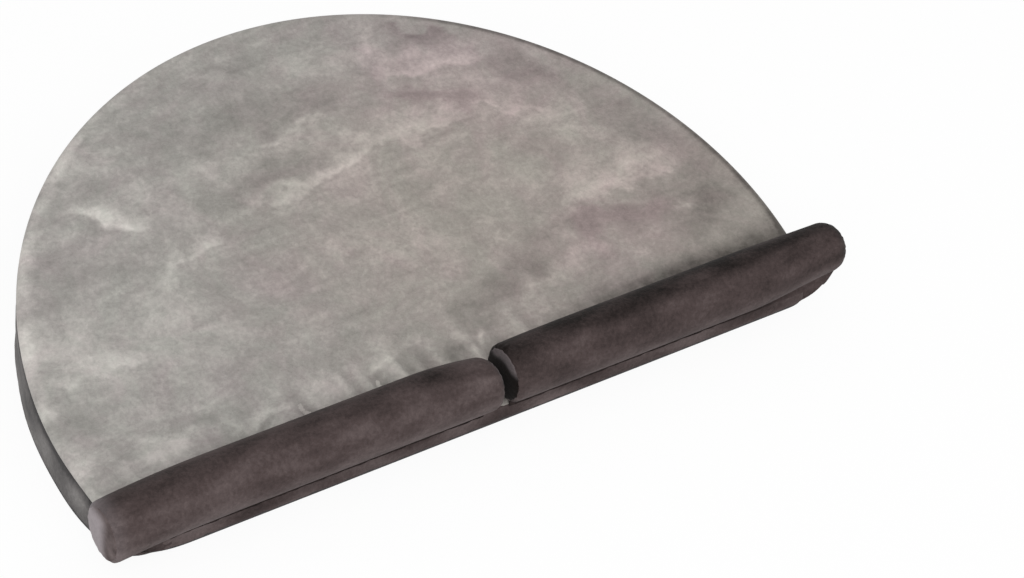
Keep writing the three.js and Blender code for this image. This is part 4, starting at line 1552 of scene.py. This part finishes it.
class LAPDESK_OT_roll_covers(bpy.types.Operator):
    """Dark velvet covers and domed end caps of both rolls"""

    bl_idname = "lapdesk.roll_covers"
    bl_label = "Roll covers"

    def execute(self, context):
        material = roll_velvet(context.scene.lap_desk_colours)
        for side, hand in SIDES.items():
            roll = Roll(context.scene, side)
            swell = roll.swell()
            tube = self.shaped(roll, swell, roll.turned(*roll.cover_profile(), columns=112))
            tongue = sewing_tongue(roll)
            shells = [
                single(roll.bent(tube), around=True, across=True, marks=roll_marks(roll, tube)),
                single(tongue, across=True, marks=tongue_marks(tongue)),
            ]
            name = f"{hand}_roll_cover"
            cover = make_piece(f"{name}_velvet", shells, material, "cushion", "dark_velvet", name)
            for place, end in (("outer", roll.outer), ("inner", roll.inner)):
                face = np.flip(roll.dome(end, 0.0, spans=14), 1)
                profile = np.concatenate([face, roll.dome(end, roll.fabric, spans=5)], axis=1)
                points = self.shaped(roll, swell, roll.turned(*profile, columns=96))
                name = f"{hand}_roll_{place}_cap"
                shell = single(roll.bent(points), around=True, marks=cap_marks(roll, end, points))
                cap = make_piece(f"{name}_velvet", [shell], material, "cushion", "dark_velvet", name)
        return {"FINISHED"}

    @staticmethod
    def shaped(roll, swell, points):
        """Points of a roll blown up, with puckers drawn in round both end seams."""
        reach, seam_reach, pucker, girth = 0.005, 0.003, 0.00025, TURN * roll.radius
        points = points.copy() if swell is None else points + swell.at(points, reach)
        angle = np.arctan2(points[..., 2] - roll.z, points[..., 1] - roll.y)
        drawn = np.exp(-roll.from_seam(points[..., 0]) / seam_reach)
        folds = ripples(angle * roll.radius, (girth / 23, girth / 14), seed=13)
        inward = pucker * drawn * (1 + folds)
        points[..., 1] -= inward * np.cos(angle)
        points[..., 2] -= inward * np.sin(angle)
        return points


# Zip


class ZipPlan:
    """Angles and heights of the zip round the back, worked out from its sizes."""

    def __init__(self, scene):
        self.sizes = sizes = scene.lap_desk_zip
        self.radius = scene.lap_desk_cushion.outline_radius
        self.start = math.pi / 2 - sizes.travel / 2
        self.end = math.pi / 2 + sizes.travel / 2
        tail = (sizes.slider_length / 2 + sizes.clearance) / self.radius
        self.chain_from = self.start - tail
        self.chain_to = self.end + tail
        past = (sizes.stop + 2 * sizes.clearance) / self.radius
        self.slot_from = self.chain_from - past
        self.slot_to = self.chain_to + past
        self.slot_low = sizes.height - sizes.slot / 2
        self.slot_high = sizes.height + sizes.slot / 2
        self.plate_front = sizes.clearance + sizes.slider_plate
        self.eye_radius = sizes.pull_thickness / math.sqrt(2)
        self.pivot_out = self.plate_front + sizes.clearance + self.eye_radius
        self.hoop_inside = self.pivot_out + self.eye_radius + sizes.clearance

    def on_curve(self, angle, inset, height):
        """Points on the curve from directions, insets and heights."""
        reach = self.radius - inset
        return np.stack(np.broadcast_arrays(reach * np.cos(angle), reach * np.sin(angle), height), -1)

    def at_slider(self, x, y, z):
        """Points in the slider's place: x along the zip to its closed end, y outwards, z up."""
        outward = np.array([math.cos(self.start), math.sin(self.start)])
        ahead = np.array([outward[1], -outward[0]])
        plan = (self.radius + y)[..., None] * outward + x[..., None] * ahead
        return raised(plan, self.sizes.height + z)


def carried(plan, angles, inset, heights, depths):
    """A bar's section carried round the curve, with its distances along and across as a cloth pattern."""
    points = plan.on_curve(angles[:, None], inset + depths, heights.T)
    across = np.append(heights, heights[:1])
    along = np.broadcast_to((angles * plan.radius)[:, None], (len(angles), len(across)))
    pattern = np.stack([along, np.broadcast_to(across, along.shape)], -1)
    return single(points, across=True, pattern=pattern)


def tooth_shape(sizes, side):
    """A moulded tooth about its own middle: a rounded bar from the spine with a swollen head at its tip.

    Its section is a rounded square whose width and depth follow the length: x along the zip, y outwards
    and z up, for a row above or below the middle.
    """
    root = (sizes.chain_height - sizes.spine) / 2
    tip = sizes.chain_height / 2 - sizes.spine - sizes.clearance
    square, upright = round_square(12, power=0.6)
    share = np.array([0.0, 0.001, 0.3, 0.55, 0.72, 0.88, 0.97, 1.0, 1.0])
    girth = np.array([0.0, 1.0, 0.9, 0.92, 1.0, 1.0, 0.85, 0.55, 0.0])
    x = square[:, None] * girth * sizes.tooth_width / 2
    y = upright[:, None] * np.minimum(girth, 0.97) * sizes.chain_depth / 2
    z = np.broadcast_to(side * (root - (root + tip) * share), x.shape)
    return np.stack([x, y, z], -1)


class LAPDESK_OT_zip_rows(bpy.types.Operator):
    """Zip tapes, moulded teeth, end stops and the stitching along both hems"""

    bl_idname = "lapdesk.zip_rows"
    bl_label = "Zip rows"

    def execute(self, context):
        plan = ZipPlan(context.scene)
        colours = context.scene.lap_desk_colours
        for row, side in (("upper", 1), ("lower", -1)):
            self.tape(plan, row, side, tape_weave(colours))
            self.teeth(plan, row, side, moulded_teeth(colours))
        self.stitching(context, plan, tape_weave(colours))
        for name in ("zip_top_stop_upper", "zip_top_stop_lower", "zip_bottom_stop"):
            frame["nodes"][name].data.materials.clear()
            frame["nodes"][name].data.materials.append(tumbled_zinc(colours))
        return {"FINISHED"}

    @staticmethod
    def tape(plan, row, side, material):
        """One tape: a thin bar with rounded edges beside the parting, carried round the curve."""
        sizes = plan.sizes
        tail = sizes.tape_tail / plan.radius
        angles = spread(plan.slot_from - tail, plan.slot_to + tail, spans=180)
        near = sizes.height + side * sizes.parting / 2
        low, high = sorted((near, near + side * sizes.tape_width))
        section = bar_section(low, high, sizes.tape_thickness, sizes.tape_thickness / 2, spans=14)
        shell = carried(plan, angles, sizes.tape_inset, *section)
        name = f"zip_{row}_tape"
        make_piece(f"{name}_weave", [shell], material, "cushion", "zip_cloth", name)

    @staticmethod
    def teeth(plan, row, side, material):
        """One row of teeth on its spine. The lower row is set off by half a pitch against the upper one."""
        sizes = plan.sizes
        sunk, edge = 0.0001, 0.0003
        middle = sizes.height + side * (sizes.chain_height - sizes.spine) / 2
        low, high = middle - sizes.spine / 2, middle + sizes.spine / 2
        section = bar_section(low, high, sizes.chain_depth - sunk, edge, spans=3)
        angles = spread(plan.chain_from, plan.chain_to, spans=180)
        spine = carried(plan, angles, sunk, *section)._replace(pattern=None)
        pitch = sizes.pitch / plan.radius
        first = plan.chain_from + pitch * (0.5 if side > 0 else 1.0)
        count = math.floor((plan.chain_to - first) / pitch)
        place = (first + pitch * np.arange(count))[:, None, None]
        along, out, up = np.moveaxis(tooth_shape(sizes, side), -1, 0)
        reach = plan.radius - sizes.chain_depth / 2 + out
        x = reach * np.cos(place) + along * np.sin(place)
        y = reach * np.sin(place) - along * np.cos(place)
        teeth = Shell(np.stack(np.broadcast_arrays(x, y, sizes.height + up), -1), around=True)
        name = f"zip_{row}_teeth"
        make_piece(f"{name}_moulded", [spine, teeth], material, "cushion", "zip_plastic", name)

    @staticmethod
    def stitching(context, plan, material):
        """Rows of short thread loops along both hems: a thin spindle for each stitch, laid on the wall."""
        cushion = cushion_of(context)
        length = plan.sizes.stitch
        thread, margin, proud, pitch, sides = 0.00028, 0.002, 0.0001, length * 1.3, 6
        step = pitch / plan.radius
        count = math.floor((plan.slot_to - plan.slot_from) / step)
        angles = plan.slot_from + step * (np.arange(count) + 0.5)
        line = cushion.along(cushion.corner_run + plan.radius * (angles - cushion.corner_end))
        spin = right_round(sides)[:, None]
        share = spread(-1, 1, spans=6)
        girth = thread * np.sqrt(np.maximum(1 - share**4, 0))
        run = share * length / 2
        turned = angles[:, None, None] + run / plan.radius
        out = girth * np.cos(spin) - 0.5 * thread * share**2
        pattern = np.stack(np.broadcast_arrays(run, np.arange(sides + 1)[:, None] * thread), -1)
        shells = []
        for height in (plan.slot_low - margin, plan.slot_high + margin):
            inset = cushion.wall_inset(line, np.full(count, height))[:, None, None]
            points = plan.on_curve(turned, inset - out - proud, height + girth * np.sin(spin))
            shells.append(Shell(points, around=True, pattern=pattern))
        make_piece("zip_stitching", shells, material, "cushion", "zip_cloth")


def chamfered(corners, cut):
    """A closed outline with each corner cut to two points."""
    before = np.roll(corners, 1, 0) - corners
    after = np.roll(corners, -1, 0) - corners
    first = corners + cut * before / np.linalg.norm(before, axis=1, keepdims=True)
    second = corners + cut * after / np.linalg.norm(after, axis=1, keepdims=True)
    return np.stack([first, second], 1).reshape(-1, 2)


class LAPDESK_OT_zip_slider(bpy.types.Operator):
    """Metal slider: a plate with two cheeks round the teeth, and a hoop that carries the pull"""

    bl_idname = "lapdesk.zip_slider"
    bl_label = "Zip slider"

    def execute(self, context):
        plan = ZipPlan(context.scene)
        material = tumbled_zinc(context.scene.lap_desk_colours)
        shells = [self.grip(plan), self.hoop(plan)]
        make_piece("zip_slider_metal", shells, material, "slider", "zip_metal", "zip_slider")
        return {"FINISHED"}

    @staticmethod
    def grip(plan):
        """A channel section with cut corners carried along the zip, drawn in at both ends."""
        sizes = plan.sizes
        corner_cut, side_draw, front_draw, drawn_from, margin = 0.00022, 0.00018, 0.0003, 0.93, 0.0001
        inside = sizes.chain_height / 2 + sizes.clearance
        outside = inside + sizes.slider_wall
        corners = np.array(
            [
                (-outside, -sizes.chain_depth),
                (-inside, -sizes.chain_depth),
                (-inside, sizes.clearance),
                (inside, sizes.clearance),
                (inside, -sizes.chain_depth),
                (outside, -sizes.chain_depth),
                (outside, plan.plate_front),
                (-outside, plan.plate_front),
            ]
        )
        section = chamfered(corners, corner_cut)
        share = np.array([-1, -0.985, -0.94, -0.6, -0.2, 0.2, 0.6, 0.94, 0.985, 1])
        x = (share * sizes.slider_length / 2)[:, None]
        end = np.clip((np.abs(share) - drawn_from) / (1 - drawn_from), 0, 1) ** 2
        outer = np.abs(section[:, 0]) > inside + margin
        front = section[:, 1] > sizes.clearance + margin
        z = section[:, 0] - np.sign(section[:, 0]) * outer * side_draw * end[:, None]
        y = section[:, 1] - front * front_draw * end[:, None]
        x, y, z = np.broadcast_arrays(x, y, z)
        return single(plan.at_slider(x, y, z), across=True)

    @staticmethod
    def hoop(plan):
        """A flat rounded bar carried along an arch: up from the plate, over and down again."""
        sizes = plan.sizes
        half = (sizes.hoop_length - sizes.hoop_bar) / 2
        root = plan.plate_front - sizes.slider_plate / 2
        crown = plan.hoop_inside + sizes.hoop_bar / 2
        bend = 0.0009
        corner = spread(0, math.pi / 2, spans=6)
        left_x = np.concatenate([[-half, -half], -half + bend * (1 - np.cos(corner))])
        left_y = np.concatenate([[root, crown - bend], crown - bend + bend * np.sin(corner)])
        path_x = np.concatenate([left_x, -left_x[::-1]])
        path_y = np.concatenate([left_y, left_y[::-1]])
        along = np.stack([np.gradient(path_x), np.gradient(path_y)], -1)
        along /= np.linalg.norm(along, axis=1, keepdims=True)
        thick, wide = round_square(12, power=0.7)
        thick = thick * sizes.hoop_bar / 2
        x = path_x[:, None] - along[:, 1:] * thick
        y = path_y[:, None] + along[:, :1] * thick
        z = np.broadcast_to(wide * sizes.hoop_width / 2, x.shape)
        return single(plan.at_slider(x, y, z), across=True)


class LAPDESK_OT_zip_pull(bpy.types.Operator):
    """Metal pull: a flat tab with a round tip, a dished ridged grip and an eye that takes the hoop"""

    bl_idname = "lapdesk.zip_pull"
    bl_label = "Zip pull"

    def execute(self, context):
        plan = ZipPlan(context.scene)
        material = tumbled_zinc(context.scene.lap_desk_colours)
        make_piece("zip_pull_metal", [self.tab(plan)], material, "pull", "zip_metal", "zip_pull")
        return {"FINISHED"}

    @staticmethod
    def outline(back, end, half, corner):
        """A long outline with soft corners from back to end, on both sides of its middle line."""
        x, z = round_square(120, corner)
        return (back + end) / 2 + (end - back) / 2 * x, half * z

    def tab(self, plan):
        """Faces between the eye's outline and the outer one, rounded over at both and ridged at the grip."""
        sizes = plan.sizes
        half = sizes.pull_width / 2
        thick = sizes.pull_thickness / 2
        edge, edge_share = 0.0003, 0.05
        grip_from, grip_before_tip, grip_fade, frame_width = 0.008, 0.0015, 0.002, 0.0006
        ridge, ridge_pitch, groove_share, dish, most_rise = 0.00016, 0.0018, 0.4, 0.0001, 0.00002
        eye_end = sizes.hoop_length / 2 + sizes.pull_play
        outer_x, outer_z = self.outline(-thick, sizes.pull_length, half, corner=0.35)
        inner_x, inner_z = self.outline(thick, eye_end, half - sizes.pull_arm, corner=0.3)
        share = np.concatenate([[0, 0.02], spread(edge_share, 1 - edge_share, spans=30), [0.98, 1]])
        face = np.repeat([1, -1], len(share))
        share = np.concatenate([share, share[::-1]])
        lip = np.clip(np.minimum(share, 1 - share) / edge_share, 0, 1)
        rise = thick - edge * (1 - np.sqrt(1 - (1 - lip) ** 2))
        x = inner_x[:, None] + (outer_x - inner_x)[:, None] * share
        z = inner_z[:, None] + (outer_z - inner_z)[:, None] * share
        grip = between(x, grip_from, grip_fade, sizes.pull_length - grip_before_tip, grip_fade)
        grip = grip * ease((half - frame_width - np.abs(z)) / frame_width)
        ridges = ridge * np.maximum(np.sin(TURN * x / ridge_pitch), -groove_share) - dish
        y = face * (rise + np.minimum(ridges * grip, most_rise))
        return single(plan.at_slider(x, plan.pivot_out + y, z), around=True, across=True)


# Stage


class LAPDESK_OT_stage(bpy.types.Operator):
    """Pale floor, soft lights, even sky and the camera"""

    bl_idname = "lapdesk.stage"
    bl_label = "Stage"

    def execute(self, context):
        scene = context.scene
        look = scene.lap_desk_stage
        scene.view_settings.view_transform = "Standard"
        self.camera(scene, look)
        self.floor(scene, look)
        self.sky(scene, look)
        self.lamp(scene, "key_light", look.key, width=1.6, place=(-1.1, -1.5, 1.7))
        self.lamp(scene, "fill_light", look.fill, width=1.8, place=(1.5, -0.6, 1.5))
        return {"FINISHED"}

    @staticmethod
    def camera(scene, look):
        """Camera on a sphere about its target, tilted about its own axis."""
        azimuth, elevation = look.azimuth, look.elevation
        back = Vector(
            (
                -math.sin(azimuth) * math.cos(elevation),
                -math.cos(azimuth) * math.cos(elevation),
                math.sin(elevation),
            )
        )
        level = (-back).cross(Vector((0, 0, 1))).normalized()
        upright = level.cross(-back)
        right = level * math.cos(look.roll) + upright * math.sin(look.roll)
        up = upright * math.cos(look.roll) - level * math.sin(look.roll)
        data = bpy.data.cameras.new("camera")
        data.lens = look.lens
        data.sensor_width = 36
        data.sensor_fit = "HORIZONTAL"
        camera = bpy.data.objects.new("camera", data)
        scene.collection.objects.link(camera)
        turned = Matrix((right, up, back)).transposed().to_4x4()
        camera.matrix_world = Matrix.Translation(Vector(look.target) + back * look.distance) @ turned
        scene.camera = camera

    @staticmethod
    def floor(scene, look):
        """A wide floor that shows almost white to the camera and keeps a soft shadow."""
        reach, drop = 6.0, 0.0002
        corners = [(-reach, -reach), (reach, -reach), (reach, reach), (-reach, reach)]
        mesh = bpy.data.meshes.new("floor")
        mesh.from_pydata([(x, y, -drop) for x, y in corners], [], [(0, 1, 2, 3)])
        floor = bpy.data.objects.new("floor", mesh)
        scene.collection.objects.link(floor)
        finish = Finish(bpy.data.materials.new("floor"))
        matt = finish.node("ShaderNodeBsdfDiffuse", None, {"Color": opaque(look.floor)})
        white = finish.node("ShaderNodeEmission", None, {"Color": (1, 1, 1, 1), "Strength": 1.0})
        glow = finish.seen() * look.floor_glow
        mixed = finish.node("ShaderNodeMixShader", None, {0: glow, 1: matt, 2: white})
        finish.node("ShaderNodeOutputMaterial", None, {"Surface": mixed})
        mesh.materials.append(finish.owner)

    @staticmethod
    def sky(scene, look):
        """An even grey sky for light, and a white one for the camera and for reflections."""
        finish = Finish(bpy.data.worlds.new("sky"))
        light = finish.node("ShaderNodeBackground", None, {"Color": (1, 1, 1, 1), "Strength": look.sky})
        white = finish.node("ShaderNodeBackground", None, {"Color": (1, 1, 1, 1), "Strength": 1.0})
        mixed = finish.node("ShaderNodeMixShader", None, {0: finish.seen(), 1: light, 2: white})
        finish.node("ShaderNodeOutputWorld", None, {"Surface": mixed})
        scene.world = finish.owner

    @staticmethod
    def lamp(scene, name, power, width, place):
        """A square soft light that faces the cushion."""
        data = bpy.data.lights.new(name, "AREA")
        data.energy = power
        data.size = width
        lamp = bpy.data.objects.new(name, data)
        scene.collection.objects.link(lamp)
        lamp.location = place
        lamp.rotation_euler = (-Vector(place)).to_track_quat("-Z", "Y").to_euler()


class LAPDESK_PT_sidebar(bpy.types.Panel):
    """Sizes, colours and pieces of the lap desk"""

    bl_idname = "LAPDESK_PT_sidebar"
    bl_label = "Lap Desk"
    bl_space_type = "VIEW_3D"
    bl_region_type = "UI"
    bl_category = "Lap Desk"

    def draw(self, context):
        for operator in OPERATORS:
            self.layout.operator(operator.bl_idname)
        for holder in HOLDERS:
            group = getattr(context.scene, holder)
            for name in group.__annotations__:
                self.layout.prop(group, name)


HOLDERS = {
    "lap_desk_cushion": CushionSizes,
    "lap_desk_roll": RollSizes,
    "lap_desk_zip": ZipSizes,
    "lap_desk_colours": ClothColours,
    "lap_desk_stage": StageLook,
}
OPERATORS = (
    LAPDESK_OT_stage,
    LAPDESK_OT_top_panel,
    LAPDESK_OT_walls,
    LAPDESK_OT_front_strip,
    LAPDESK_OT_underside,
    LAPDESK_OT_foam_cores,
    LAPDESK_OT_roll_covers,
    LAPDESK_OT_zip_rows,
    LAPDESK_OT_zip_slider,
    LAPDESK_OT_zip_pull,
)
CLASSES = (*HOLDERS.values(), *OPERATORS, LAPDESK_PT_sidebar)


def register():
    for cls in CLASSES:
        bpy.utils.register_class(cls)
    for holder, group in HOLDERS.items():
        setattr(bpy.types.Scene, holder, PointerProperty(type=group))


def unregister():
    for holder in HOLDERS:
        delattr(bpy.types.Scene, holder)
    for cls in reversed(CLASSES):
        bpy.utils.unregister_class(cls)


def main():
    register()
    for operator in OPERATORS:
        group, name = operator.bl_idname.split(".")
        getattr(getattr(bpy.ops, group), name)()


if __name__ == "__main__":
    main()
